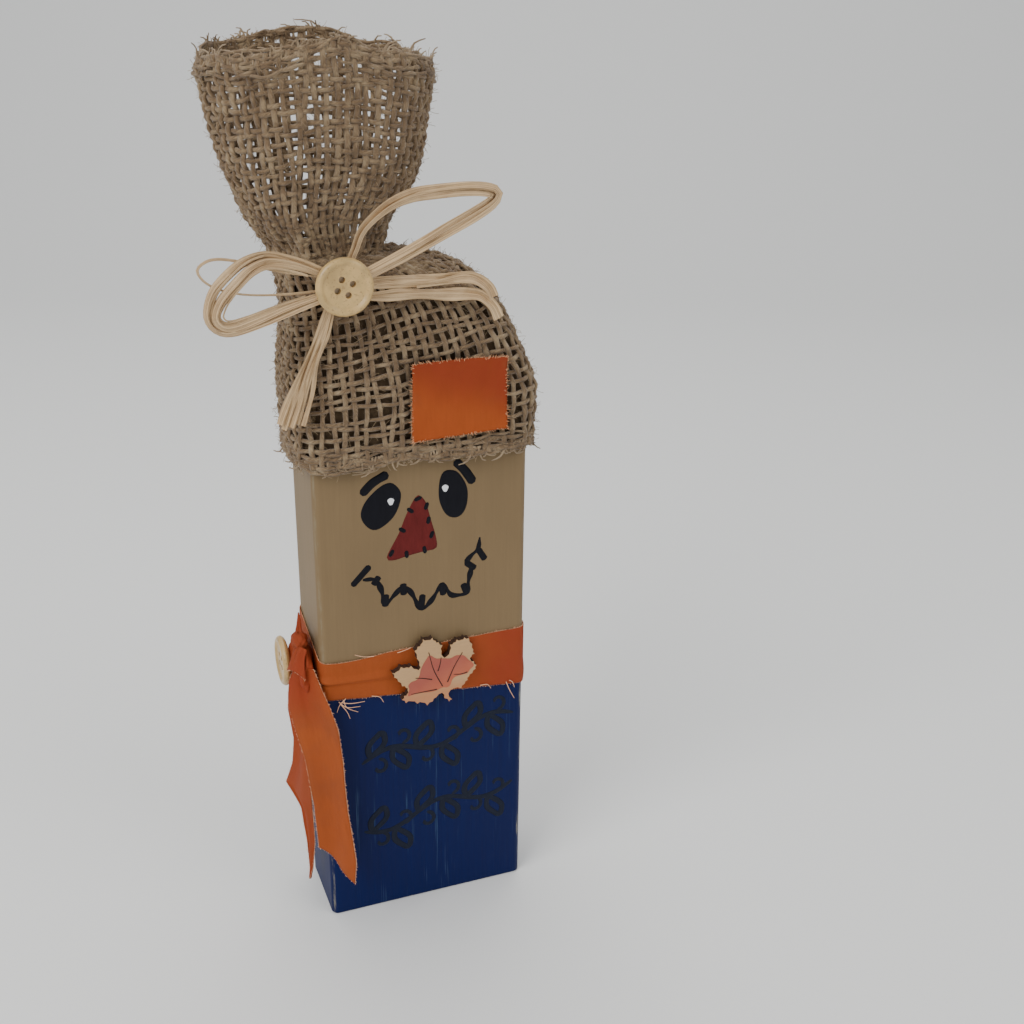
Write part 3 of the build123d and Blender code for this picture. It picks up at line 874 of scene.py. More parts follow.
@dataclass(frozen=True)
class LeafWood:
    """Laser-cut plywood: pale face with burnt side walls."""

    face: tuple = (0.56, 0.34, 0.16)
    peach: tuple = (0.50, 0.19, 0.08)
    burnt: tuple = (0.030, 0.014, 0.008)
    peach_below: tuple = (105 * MM, 113 * MM)

    def material(self) -> Material:
        """Make the wood; walls that don't face the front or back are burnt."""
        g = Graph("plywood_leaf")
        facing = g.math("ABSOLUTE", g.axes(g.add("NewGeometry").outputs["Normal"])[1])
        grain = g.noise((260, 60, 1300))
        face = g.mix(grain, self.face, shade(self.face, 0.8))
        lower = g.minus(1.0, g.steps(g.axes()[2], *self.peach_below))
        face = g.mix(g.times(lower, 0.8), face, self.peach)
        wall = g.mix(grain, self.burnt, shade(self.burnt, 2.2))
        return g.finish(g.mix(g.steps(facing, 0.5, 0.8), wall, face), 0.6)


@dataclass(frozen=True)
class LeafInk:
    """Brick-red print on the leaf, paler towards its stem."""

    low: tuple = (0.48, 0.10, 0.038)
    high: tuple = (0.33, 0.058, 0.038)
    cloud: tuple = (0.46, 0.15, 0.08)
    fade: tuple = (104 * MM, 116 * MM)

    def material(self) -> Material:
        """Make the ink."""
        g = Graph("leaf_print")
        x, _, z = g.axes()
        body = g.mix(g.steps(g.minus(z, g.times(x, 0.5)), *self.fade), self.low, self.high)
        return g.finish(g.mix(g.times(g.noise(180), 0.45), body, self.cloud), 0.5)


def assign(obj: Piece, material: Material) -> None:
    """Give a CAD node one material in all of its slots."""
    if not obj.material_slots:
        obj.data.materials.append(material)
    for place in obj.material_slots:
        place.material = material


# ---------------------------------------------------------------------- sub-assemblies
@dataclass
class StudioStage:
    """Pale floor with a curved backdrop, soft lights and the camera."""

    lens: float = 43.73
    sensor: float = 36.0
    camera_place: tuple = (-0.137052, -0.460001, 0.37578)
    yaw: float = 0.378
    pitch: float = 0.387
    roll: float = 0.015
    target: tuple = (0, 0, 0.18)
    lamps: tuple = (("key_softbox", (-1.25, -0.75, 1.35), 1.1, 22),
                    ("fill_softbox", (1.1, -1.3, 1.1), 1.2, 9),
                    ("top_softbox", (0.1, 0.5, 1.8), 1.2, 13))
    paper: tuple = (0.84, 0.835, 0.81)
    room_light: tuple = (0.92, 0.95, 1.0, 1)
    room_strength: float = 0.52
    half_width: float = 4.0
    floor_front: float = -3.0
    floor_back: float = 1.2
    sweep_radius: float = 0.8
    wall_height: float = 4.0

    def camera(self) -> None:
        """Set the camera from its yaw, downward pitch and roll."""
        sy, cy = math.sin(self.yaw), math.cos(self.yaw)
        sp, cp = math.sin(self.pitch), math.cos(self.pitch)
        sr, cr = math.sin(self.roll), math.cos(self.roll)
        ahead = Vector((sy * cp, cy * cp, -sp))
        right = Vector((cy, -sy, 0))
        up = right.cross(ahead)
        x, y = cr * right + sr * up, -sr * right + cr * up
        data = bpy.data.cameras.new("camera")
        data.lens, data.sensor_width = self.lens, self.sensor
        data.clip_start, data.clip_end = 0.01, 20
        obj = bpy.data.objects.new("camera", data)
        turned = Matrix((x, y, -ahead)).transposed().to_4x4()
        obj.matrix_world = Matrix.Translation(self.camera_place) @ turned
        bpy.context.scene.collection.objects.link(obj)
        bpy.context.scene.camera = obj

    def lamp(self, name: str, place: tuple, size: float, power: float) -> None:
        """Add one square soft lamp that points at the figure."""
        data = bpy.data.lights.new(name, "AREA")
        data.size, data.energy = size, power
        obj = bpy.data.objects.new(name, data)
        obj.location = place
        away = Vector(self.target) - Vector(place)
        obj.rotation_euler = away.to_track_quat("-Z", "Y").to_euler()
        bpy.context.scene.collection.objects.link(obj)

    def floor(self) -> None:
        """Make the floor that curves up into the backdrop, square to the camera."""
        back, radius = self.floor_back, self.sweep_radius
        profile = [(self.floor_front, 0.0), (back, 0.0)]
        profile += [(back + radius * math.sin(a), radius - radius * math.cos(a))
                    for a in np.linspace(0.15, math.pi / 2, 12)]
        profile.append((back + radius, self.wall_height))
        points = [(x, y, z) for y, z in profile for x in (-self.half_width, self.half_width)]
        faces = [(2 * i, 2 * i + 1, 2 * i + 3, 2 * i + 2) for i in range(len(profile) - 1)]
        floor = new_object("studio_floor", points, faces,
                           Graph("pale_paper").finish(self.paper, 0.75))
        floor.data.transform(Matrix.Rotation(-self.yaw, 4, "Z"))

    def build(self) -> None:
        """Make the camera, the floor, the backdrop, the lamps and the surrounding light."""
        self.camera()
        self.floor()
        for facts in self.lamps:
            self.lamp(*facts)
        world = bpy.data.worlds.new("soft_room")
        bpy.context.scene.world = world
        world.use_nodes = True
        light = world.node_tree.nodes["Background"]
        light.inputs[0].default_value = self.room_light
        light.inputs[1].default_value = self.room_strength


@dataclass
class PaintedFace:
    """The scarecrow's face, hand-painted on the block's front: x, z points in millimetres."""

    line: float = 2.75 * MM
    relief: float = 0.2 * MM
    highlight: tuple = (1.25 * MM, 1.5 * MM)
    highlight_rise: float = 0.35 * MM
    stitch: float = 3.2
    eye_left: tuple = ((-12.3, 201.3), (-9.3, 197.1), (-10.3, 191.2), (-13.3, 186.3),
                       (-18.6, 182.8), (-22.2, 183.3), (-25.2, 187.1), (-25.6, 191),
                       (-23.3, 195.6), (-18.8, 199.8), (-15.2, 201.6))
    eye_right: tuple = ((9.9, 204.2), (14.4, 202.9), (18.2, 196.5), (18.5, 189.7),
                        (16.6, 184.9), (13.2, 183.4), (9.4, 185.4), (6.8, 191.2),
                        (6.5, 197.4), (7.6, 202.4))
    nose: tuple = ((-2.1, 195.1), (0.8, 192), (3, 184), (5.1, 175.9), (5.1, 171.1),
                   (-0.2, 170.4), (-7, 169.4), (-13, 168.3), (-15.6, 170.2),
                   (-10.5, 179.7), (-7.4, 187), (-4.4, 192.7))
    brows: tuple = (((-25.3, 198.1), (-20.5, 202.6), (-14.3, 205.6)),
                    ((13.3, 207.9), (17.6, 203), (21.2, 197.4)))
    highlights: tuple = (("left", -13.5, 193.9), ("right", 9.1, 196.7))
    stitches: tuple = ((-2.3, 193.6, 20), (1.2, 190, 70), (-5.5, 189, -40), (2, 183.8, 80),
                       (-9, 181, -35), (3.3, 177.3, 70), (0.2, 171.1, 100),
                       (-7.4, 170.2, 95), (-13.7, 171.6, 60))
    mouth: tuple = ((-25.8, 161.6), (-20.7, 160.8), (-18.2, 155.6), (-16.9, 149.4),
                    (-12.6, 153.1), (-9.2, 155.8), (-5.8, 152.8), (-1.7, 144.8),
                    (2.5, 147.4), (7.6, 153.9), (11.1, 149.2), (14.2, 148.3),
                    (18.2, 148.9), (19, 153.7), (20.1, 160), (18.2, 162.8), (20.5, 165.7),
                    (23.2, 168.1), (24, 173.2))
    mouth_points: int = 90
    mouth_strokes: tuple = (((-30.3, 159.6), (-22.7, 167.4)), ((23.2, 168.1), (26.4, 162.7)),
                            ((-19.1, 162.2), (-21.5, 158.6)), ((-16.4, 153.7), (-16.9, 148.2)),
                            ((-9.1, 157.4), (-8.9, 152.1)), ((-0.9, 151.2), (-1.7, 144)),
                            ((7.3, 155.2), (8.1, 149.3)), ((16.6, 153.3), (18.6, 148)),
                            ((17.8, 162.8), (22.1, 159.3)))

    def solid_shapes(self, front: float, black: Material) -> list:
        """Make the eyes with their white dots, and the nose.

        Args:
            front: y of the painted face.
            black: the paint pen's material.

        Returns:
            The pieces.
        """
        red = FlatPaint("brick_red_paint", (0.115, 0.012, 0.011), 0.55, 0.35).material()
        white = FlatPaint("white_dot_paint", (0.82, 0.82, 0.84), 0.4, 0.05).material()
        shapes = (("eye_left", self.eye_left, 40, self.relief, black),
                  ("eye_right", self.eye_right, 40, self.relief, black),
                  ("nose_triangle", self.nose, 48, self.relief * 0.7, red))
        pieces = [plate(name, even_line(np.asarray(points) * MM, count, True),
                        front + 0.05 * MM, height, paint)
                  for name, points, count, height, paint in shapes]
        wide, tall = self.highlight
        angles = np.linspace(0, FULL_TURN, 20)[:-1]
        for side, x, z in self.highlights:
            ring = np.stack([x * MM + wide * np.cos(angles) * (1 + 0.2 * np.sin(3 * angles)),
                             z * MM + tall * np.sin(angles)], 1)
            pieces.append(plate(f"eye_highlight_{side}", ring, front - self.relief * 0.6,
                                self.highlight_rise, white))
        return pieces

    def build(self, front: float) -> None:
        """Paint the face on the plane y = front."""
        black = FlatPaint("black_paint_pen", (0.0035, 0.0035, 0.007), 0.45).material()
        pieces = self.solid_shapes(front, black)
        strokes = [brush_stroke(brow, front, 1.35) for brow in self.brows]
        mouth = brush_stroke(self.mouth, front, 0.85, self.mouth_points)
        mouth.reach = mouth.reach * (0.85 + 0.25 * np.sin(np.arange(self.mouth_points) * 0.9))
        strokes.append(mouth)
        strokes += [brush_stroke(stroke, front) for stroke in self.mouth_strokes]
        threads = []
        for x, z, turn in self.stitches:
            half = self.stitch / 2 * np.array([math.cos(math.radians(turn)),
                                               math.sin(math.radians(turn))])
            middle = np.array([x, z])
            threads.append(brush_stroke([middle - half, middle + half],
                                        front - self.relief * 0.5, 0.6, 6))
        pieces += [swept("face_lines", strokes, black, self.line, self.relief * 2, 8,
                         (0.35, 4 * MM)),
                   swept("nose_stitches", threads, black, self.line, self.relief * 2, 8)]
        mount(pieces)


@dataclass
class VineFlourish:
    """Two painted sprigs of leaves and curls across the block's lower front, in millimetres."""

    rows: tuple = ((66.0, 99.0), (32.0, 63.0))
    left: float = -29.0
    right: float = 40.0
    wave: float = 3.6
    leaves: int = 6
    leaf_reach: tuple = (6.0, 12.5)
    leaf_swell: float = 3.6
    curl: tuple = (4.2, 1.2)
    stem_points: int = 60
    line: float = 2.4 * MM
    relief: float = 0.07 * MM

    def sprig(self, low: float, high: float, flip: float) -> list:
        """Centre lines of one sprig's stem, leaves and curls.

        Args:
            low: lowest height of its band.
            high: highest height of its band.
            flip: 1 or -1, which way its stem waves.

        Returns:
            (points, weight) of each line.
        """
        t = np.linspace(0, 1, self.stem_points)
        x = self.left + (self.right - self.left) * t
        tall = high - low
        z = low + tall * (0.28 + 0.35 * t) + flip * self.wave * np.sin(t * 1.5 * FULL_TURN)
        lines = [(np.stack([x, z], 1), 1.0)]
        angles = np.linspace(0, 0.75 * FULL_TURN, 9)
        radius = np.linspace(*self.curl, 9)
        swell = np.array([self.leaf_swell, 0.0])
        for number, share in enumerate(np.linspace(0.06, 0.84, self.leaves)):
            start = lines[0][0][int(share * (self.stem_points - 1))]
            side = 1 if number % 2 == 0 else -1
            tip = start + np.array([self.leaf_reach[0], side * self.leaf_reach[1]])
            for bend in (1.0, -0.9):
                lines.append((np.array([start, (start + tip) / 2 + swell * bend, tip]), 1.1))
            around = np.stack([radius * np.sin(angles),
                               -side * (self.curl[0] - radius * np.cos(angles))], 1)
            lines.append((start + np.array([4.0, -side * 1.0]) + around, 0.75))
        return lines

    def build(self, front: float) -> None:
        """Paint both sprigs on the plane y = front."""
        grey = FlatPaint("charcoal_brush_paint", (0.0085, 0.0120, 0.0245), 0.5, 0.35).material()
        for number, (low, high) in enumerate(self.rows):
            strokes = [brush_stroke(points, front, weight, max(12, len(points)), 0.35, 1.2)
                       for points, weight in self.sprig(low, high, 1 - 2 * number)]
            mount([swept(f"painted_sprig_{number + 1}", strokes, grey, self.line,
                         self.relief * 2, 8, (0.5, 6 * MM))])


class SackSurface:
    """Outer face of the CAD sack, read by height and direction and cut into cloth rows.

    Column 0 is at the middle of the back, and columns run round by equal cloth widths.
    """

    reach = 120 * MM
    least_width = 20 * MM
    most_drift = 2.5 * MM

    def __init__(self, node: Piece, columns: int, step: float = 1.0 * MM,
                 directions: int = 480) -> None:
        """Read the surface by rays shot inwards at the sack.

        Args:
            node: the sack's CAD object.
            columns: how many warp yarns stand round the sack.
            step: height between the levels that are read.
            directions: rays at each level.
        """
        mesh = node.data
        self.tree = BVHTree.FromPolygons([v.co for v in mesh.vertices],
                                         [p.vertices for p in mesh.polygons])
        heights = np.array([v.co.z for v in mesh.vertices])
        angles = np.linspace(0, 2 * np.pi, directions, endpoint=False)
        ways = np.stack([np.sin(angles), np.cos(angles)], 1)
        share = np.arange(columns) / columns
        grid, last, middle = [], None, None
        for z in np.arange(heights.min() + 0.2 * MM, heights.max(), step):
            middle = self.middle(z, middle)
            rows = np.full((directions, 2), np.nan)
            for i, (dx, dy) in enumerate(ways):
                start = Vector((middle + dx * self.reach, dy * self.reach, z))
                hit = self.tree.ray_cast(start, Vector((-dx, -dy, 0)), self.reach)[0]
                if hit is not None:
                    rows[i] = hit.x, hit.y
            if not np.isnan(rows).any():
                run = run_of(np.vstack([rows, rows[:1]]))
                last = np.interp(share * run[-1], run, np.arange(directions + 1))
            whole = np.floor(last).astype(int)
            part = (last - whole)[:, None]
            picked = np.full((columns, 3), z)
            picked[:, :2] = (rows[whole % directions] * (1 - part)
                             + rows[(whole + 1) % directions] * part)
            grid.append(picked)
        self.levels = np.array(grid)
        self.columns = columns

    def middle(self, z: float, before: float | None) -> float:
        """Middle of the sack's width at one height.

        Args:
            z: the height.
            before: the middle one level below, or None at the lowest.

        Returns:
            The middle's x, which drifts only a little from level to level.
        """
        left, right = (self.tree.ray_cast(Vector((side * 0.15, 0, z)), Vector((-side, 0, 0)),
                                          0.3)[0] for side in (-1, 1))
        if left is None or right is None or right.x - left.x < self.least_width:
            return before
        fresh = (left.x + right.x) / 2
        if before is None:
            return fresh
        return before + float(np.clip(fresh - before, -self.most_drift, self.most_drift))

    def cloth(self, start: float, end: float | None, rows: int) -> Array:
        """Points of the surface, evenly spaced up each column.

        Args:
            start: lowest height.
            end: highest height, or None for the sack's own rim.
            rows: how many points in each column.

        Returns:
            Array of rows by columns by 3.
        """
        out = np.zeros((rows, self.columns, 3))
        for c in range(self.columns):
            line = self.levels[:, c]
            line = line[~np.isnan(line).any(1)]
            keep = line[:, 2] >= start
            if end is not None:
                keep &= line[:, 2] <= end
            out[:, c] = even_line(line[keep], rows, smooth=False)
        for _ in range(2):
            out = (np.roll(out, 1, 1) + 2 * out + np.roll(out, -1, 1)) / 4
        return out


def sample_grid(grid: Array, rows: Array, columns: Array) -> Array:
    """Read a grid that wraps round its columns at fractional rows and columns.

    Args:
        grid: rows by columns by 3.
        rows: the row of each reading.
        columns: the column of each reading.

    Returns:
        One point or direction for each reading.
    """
    top = grid.shape[0] - 1
    r = np.clip(rows, 0, top)
    r0 = np.minimum(np.floor(r).astype(int), top - 1)
    c0 = np.floor(columns).astype(int)
    fr, fc = (r - r0)[..., None], (columns - c0)[..., None]
    n = grid.shape[1]
    a, b = grid[r0, c0 % n], grid[r0, (c0 + 1) % n]
    c, d = grid[r0 + 1, c0 % n], grid[r0 + 1, (c0 + 1) % n]
    return (a * (1 - fc) + b * fc) * (1 - fr) + (c * (1 - fc) + d * fc) * fr


def sample_ring(ring: Array, columns: Array) -> Array:
    """Read a closed ring of points or directions at fractional columns."""
    return sample_grid(ring[None].repeat(2, 0), np.zeros(len(columns)), columns)


@dataclass
class SackHat:
    """Burlap sack hat: woven cap and mouth, gathered at the neck, with frayed edges."""

    warps: int = 60
    cap_rows: int = 25
    mouth_rows: int = 21
    warp_width: float = 2.1 * MM
    weft_width: float = 1.75 * MM
    swing: float = 0.55 * MM
    depth: float = -0.5 * MM
    pleats: int = 13
    pleat_depth: float = 1.9 * MM
    gather_rows: float = 9.0
    slack: float = 0.7 * MM
    edge_rows: int = 6
    fringe: float = 6.5 * MM
    ragged: float = 1.3 * MM
    lining_depth: float = 1.9 * MM
    under_patch: float = 1.2 * MM
    neck_height: float = 291.2 * MM
    band_width: float = 1.5 * MM
    fringe_width: float = 1.3 * MM
    flatness: float = 0.8
    slub_length: float = 9 * MM
    fuzz: tuple = (("Density", 110000.0), ("Length", 3.8 * MM), ("Width", 0.09 * MM),
                   ("Lean", 1.5))
    seed: int = 7

    def middle_surface(self, base: Array, neck_row: int) -> tuple:
        """Cloth's middle surface with its gathers, and its outward directions.

        Args:
            base: rows by columns of the sack's outer face.
            neck_row: the row that the tie holds.

        Returns:
            Points and unit normals, both rows by columns by 3.
        """
        around = np.roll(base, -1, 1) - np.roll(base, 1, 1)
        up = np.gradient(base, axis=0)
        normal = unit(np.cross(around, up))
        centre = base.mean(1, keepdims=True)
        if np.sum((base - centre) * normal) < 0:
            normal = -normal
        rows, columns = base.shape[:2]
        u = np.arange(columns)[None, :] / columns
        v = np.arange(rows)[:, None] / rows
        away = np.abs(np.arange(rows) - neck_row)[:, None] / self.gather_rows
        gather = np.exp(-away ** 1.4)
        fold = 0.5 + 0.5 * np.cos(2 * np.pi * self.pleats * (
            u + 0.03 * periodic_noise(u, v, self.seed + 1, u_max=2)))
        slack = self.slack * periodic_noise(u, v, self.seed + 2, u_max=5, v_max=3)
        inward = self.depth + self.pleat_depth * gather * fold + slack
        low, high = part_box("hat_patch")
        within = [np.clip((base[..., k] - low[k]) / (3 * MM) + 1, 0, 1)
                  * np.clip((high[k] - base[..., k]) / (3 * MM) + 1, 0, 1) for k in (0, 2)]
        pressed = within[0] * within[1] * (base[..., 1] < 0)
        inward = inward * (1 - pressed) + self.under_patch * pressed
        return base - normal * inward[..., None], normal

    def yarn(self, cloth: tuple, rows: Array, columns: Array, wave: Array,
             closed: bool = False) -> Strand:
        """One yarn of the weave.

        Args:
            cloth: the cloth's middle surface and its outward directions.
            rows: the yarn's fractional rows.
            columns: the yarn's fractional columns.
            wave: from -1 to 1, how far behind or in front of the cloth it lies.
            closed: whether it joins its own start.

        Returns:
            Its centre line.
        """
        points, out = (sample_grid(grid, rows, columns) for grid in cloth)
        return Strand(points + out * (wave * self.swing)[:, None], out, 1.0, closed)

    def yarns(self, middle: Array, normal: Array, first: int) -> tuple:
        """Centre lines of the wefts and warps of one stretch of cloth.

        Args:
            middle: the cloth's middle surface, one row for each weft.
            normal: outward directions there.
            first: parity of the first weft, so that two stretches match.

        Returns:
            Lists of weft and warp strands.
        """
        rows, columns = middle.shape[:2]
        dice = np.random.default_rng(self.seed + first)
        row_drift = dice.normal(0, 0.13, rows)
        wefts, warps = [], []
        fine = np.arange(columns * 3) / 3.0
        for r in range(rows):
            wander = 0.22 * periodic_noise(fine / columns, np.array(r * 0.37), self.seed + 9,
                                           u_max=11)
            at = np.clip(np.full(len(fine), float(r)) + wander + row_drift[r], 0, rows - 1)
            wave = -np.cos(np.pi * (fine + r + first))
            wefts.append(self.yarn((middle, normal), at, fine, wave, True))
        steps = np.linspace(0, rows - 1, (rows - 1) * 3 + 1)
        for c in range(columns):
            wander = 0.20 * periodic_noise(np.array(c / columns * 7.0), steps / rows,
                                           self.seed + 21, v_max=2)
            wave = np.cos(np.pi * (steps + c + first))
            warps.append(self.yarn((middle, normal), steps, c + wander, wave))
        return wefts, warps

    def edge_band(self, edge: Array, normal: Array, down: Array,
                  seed: int) -> list:
        """Extra wefts drawn tight along a cut edge, lying on both faces of the cloth.

        Args:
            edge: points of the cut edge.
            normal: outward directions there.
            down: directions from the edge into the cloth.
            seed: for their ripples and thickness.

        Returns:
            The wefts' centre lines.
        """
        dice = np.random.default_rng(seed)
        count = edge.shape[0]
        strands = []
        fine = np.arange(count * 2) / 2.0
        for number in range(self.edge_rows):
            u = fine / count
            ripple = periodic_noise(u, np.array(number * 0.31), seed + number, u_max=16)
            depth = (number * 1.1 - 0.7 + 0.9 * ripple) * 1.2 * MM
            rim, out, inner = (sample_ring(ring, fine) for ring in (edge, normal, down))
            side = 0.75 * MM * np.cos(np.pi * (fine + number)) + 0.25 * MM * ripple
            strands.append(Strand(rim + inner * depth[:, None] + out * side[:, None], out,
                                  dice.uniform(0.65, 1.0), True))
        return strands

    def fringe_ends(self, edge: Array, normal: Array, down: Array, seed: int,
                    per_warp: int = 4) -> list:
        """Frayed yarn ends that stand out of a cut edge and lean at random.

        Args:
            edge: points of the cut edge.
            normal: outward directions there.
            down: directions from the edge into the cloth.
            seed: for their places, lengths and leans.
            per_warp: how many ends stand at each warp.

        Returns:
            The ends' centre lines.
        """
        dice = np.random.default_rng(seed)
        count = len(edge)
        strands = []
        for number in range(count * per_warp):
            at = np.array([(number + dice.uniform(-0.4, 0.4)) / per_warp])
            root, out, inner = (sample_ring(ring, at)[0] for ring in (edge, normal, down))
            along = np.cross(out, inner)
            tuft = float(periodic_noise(at / count, np.zeros(1), seed + 5, 6, 17)[0])
            length = self.fringe * dice.uniform(0.3, 1.0) * np.clip(0.7 + 0.4 * tuft, 0.3, 1.1)
            lean = (along * np.clip(dice.normal(0.7 * tuft, 0.9), -1.5, 1.5)
                    + out * np.clip(dice.normal(0.1, 0.4), -0.6, 0.6))
            start = root + inner * 2.6 * MM
            line = [start, root + lean * length * 0.2,
                    root - inner * length * 0.55 + lean * length * 0.6,
                    root - inner * length * 0.62 + lean * length * 1.2]
            points = even_line(line, 6)
            reach = np.linspace(dice.uniform(0.7, 1.1), 0.3, 6)
            strands.append(Strand(points, out, reach))
        return strands

    def weave(self, name: str, yarns: tuple, edge: tuple) -> dict:
        """Make the pieces of one stretch of cloth.

        Args:
            name: the stretch's name.
            yarns: its wefts and warps.
            edge: points, outward and inward directions of its cut edge.

        Returns:
            Its cloth, edge band, fringe and fuzz, by name.
        """
        jute, frayed, fibre = self.finishes
        parts = (("cloth", yarns[0] + yarns[1], self.warp_width, 0.85, jute),
                 ("edge_band", self.edge_band(*edge, self.seed + 40), self.band_width, 0.8, jute),
                 ("fringe", self.fringe_ends(*edge, self.seed + 60), self.fringe_width, 0.3,
                  frayed))
        made = {}
        for part, strands, width, slub, material in parts:
            made[part] = swept(f"hat_{name}_{part}", strands, material, width,
                               width * self.flatness, 6, (slub, self.slub_length),
                               float(len(made)))
        made["fuzz"] = self.loose_fibres(f"hat_{name}_fuzz", (made["cloth"], made["edge_band"]), fibre)
        return made

    def build(self, node: Piece) -> None:
        """Weave the hat over the CAD sack.

        Args:
            node: the sack's CAD object.
        """
        self.finishes = (
            JuteYarn().material(),
            JuteYarn("frayed_burlap_ends", (0.16, 0.105, 0.056), (0.33, 0.232, 0.138),
                     (0.52, 0.40, 0.25)).material(),
            FlatPaint("loose_jute_fibre", (0.35, 0.255, 0.155), 0.9, 0.35).material())
        surface = SackSurface(node, self.warps)
        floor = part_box("hat_sack")[0].z + 1.0 * MM
        cap = surface.cloth(floor, self.neck_height, self.cap_rows + 1)
        mouth = surface.cloth(self.neck_height, None, self.mouth_rows + 1)
        whole = np.concatenate([cap, mouth[1:]])
        u = np.arange(self.warps) / self.warps
        ragged = self.ragged * periodic_noise(u, np.zeros(1), self.seed + 80, 6, 9)
        whole[-1, :, 2] += ragged
        whole[-2, :, 2] += ragged * 0.5
        middle, normal = self.middle_surface(whole, self.cap_rows)
        self.inner_layer_painted_shade(middle[:self.cap_rows], normal[:self.cap_rows])
        stretches = {"cap": (0, self.cap_rows + 1), "mouth": (self.cap_rows, len(whole))}
        edges = {"cap": (middle[0], normal[0], unit(middle[1] - middle[0])),
                 "mouth": (middle[-1], normal[-1], unit(middle[-2] - middle[-1]))}
        cloths = {}
        for name, (start, stop) in stretches.items():
            wefts, warps = self.yarns(middle[start:stop], normal[start:stop], start % 2)
            if name == "mouth":
                wefts = wefts[1:]
            for weft in wefts:
                weft.reach = self.weft_width / self.warp_width
            cloths[name] = self.weave(name, (wefts, warps), edges[name])
        for name, made in cloths.items():
            mount(list(made.values()))
            cloth = made.pop("cloth")
            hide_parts("hat_sack")
            start, stop = stretches[name]

    def inner_layer_painted_shade(self, middle: Array, normal: Array) -> None:
        """Make the inner layer of the cap, which closes the gaps of its open weave; its dark colour is
        painted shade seen through the gaps.

        Args:
            middle: the cap's middle surface.
            normal: outward directions there.
        """
        grid = middle - normal * self.lining_depth
        grid = (np.roll(grid, 1, 1) + grid + np.roll(grid, -1, 1)) / 3
        # the layer's dark material is painted shade seen through the weave's gaps
        piece = slab("hat_cap_inner_layer_painted_shade", grid, 0.5 * MM, InnerBurlapPaintedShade().material(), wrap=True)
        mount([piece])

    def loose_fibres(self, name: str, cloths: tuple,
                     fibre: Material) -> Piece:
        """Make the loose fibres all over one stretch of cloth.

        Args:
            name: the piece's name.
            cloths: the pieces that the fibres stand on, except under the patch.
            fibre: their material.

        Returns:
            The mesh piece.
        """
        vertices, faces = [], []
        low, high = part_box("hat_patch")
        edge = Vector((1, 1, 1)) * MM
        low, high = low - edge, high + edge
        for piece in cloths:
            first, places = len(vertices), [v.co[:] for v in piece.data.vertices]
            vertices.extend(places)
            for face in piece.data.polygons:
                x, y, z = places[face.vertices[0]]
                if y > 0 or not (low.x < x < high.x and low.z < z < high.z):
                    faces.append([first + i for i in face.vertices])
        return run_tree(new_object(name, vertices, faces), hair_tree(),
                        dict(self.fuzz) | {"Seed": self.seed, "Material": fibre})


@dataclass
class HatPatch:
    """Dyed cotton patch glued on the hat, with picked edges and a lifted corner."""

    columns: int = 40
    rows: int = 32
    thickness: float = 0.5 * MM
    thread_width: float = 0.22 * MM
    seed: int = 3

    def picked_ends(self, grid: Array) -> list:
        """Short thread ends all round the patch.

        Args:
            grid: rows by columns of the patch's middle surface.

        Returns:
            The ends' centre lines.
        """
        ends = []
        dice = np.random.default_rng(self.seed)
        border = np.concatenate([grid[0], grid[:, -1], grid[-1, ::-1], grid[::-1, 0]])
        centre = grid.mean((0, 1))
        for spot in border.repeat(2, 0):
            root = spot + dice.normal(0, 0.2, 3) * MM
            out = unit(spot - centre) * np.array([1, 0, 1])
            tip = root + out * dice.uniform(0.3, 1.0) * MM + dice.normal(0, 0.35, 3) * MM
            ends.append(Strand(np.array([root - out * 0.5 * MM, root, tip]),
                               reach=np.array([1, 0.9, 0.3])))
        return ends

    def build(self) -> None:
        """Lay the patch where the CAD patch is."""
        low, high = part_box("hat_patch")
        size_x, size_z = high.x - low.x, high.z - low.z
        s, t = np.meshgrid(np.linspace(0, 1, self.columns), np.linspace(0, 1, self.rows))
        x = low.x + size_x * (s + 0.012 * np.sin(5 * t + 1) * (s - 0.5))
        z = low.z + size_z * t + 1.0 * MM * (s - 0.35) * (1 - t) - 0.9 * MM * (1 - s) * (1 - t)
        z = z + 0.5 * MM * np.sin(3 * s) * t
        ripple = 0.14 * MM * np.sin(7 * s + 4 * t) + 0.10 * MM * np.sin(17 * s - 9 * t)
        curl = 0.5 * MM * ((2 * np.abs(s - 0.5)) ** 6 + (2 * np.abs(t - 0.5)) ** 6)
        y = low.y - 0.85 * MM + ripple - curl
        grid = np.stack([x, y, z], -1)
        cloth = RibbonCloth("patch_cotton_dye", orange=(0.40, 0.075, 0.014),
                            red=(0.26, 0.027, 0.012), rib=0.0006).material(
            lambda g: g.steps(g.math("ADD", g.axes()[2], g.math(
                "MULTIPLY", g.axes()[0], 0.35)), low.z + 0.35 * size_z, high.z))
        patch = slab("hat_patch_cotton", grid, self.thickness, cloth)
        thread = FlatPaint("picked_thread", (0.85, 0.42, 0.22), 0.8).material()
        threads = swept("hat_patch_edge_threads", self.picked_ends(grid), thread,
                        self.thread_width, sides=4)
        mount([patch, threads])
        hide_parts("hat_patch")


@dataclass
class RaffiaBundle:
    """One bundle of flat raffia strands: its middle line is x, z points in millimetres."""

    name: str
    middle: tuple
    node: str
    strands: int
    start_width: float
    wide: float
    end_width: float
    strand_width: float = 2.0
    seed: int = 0
    frayed_end: bool = False


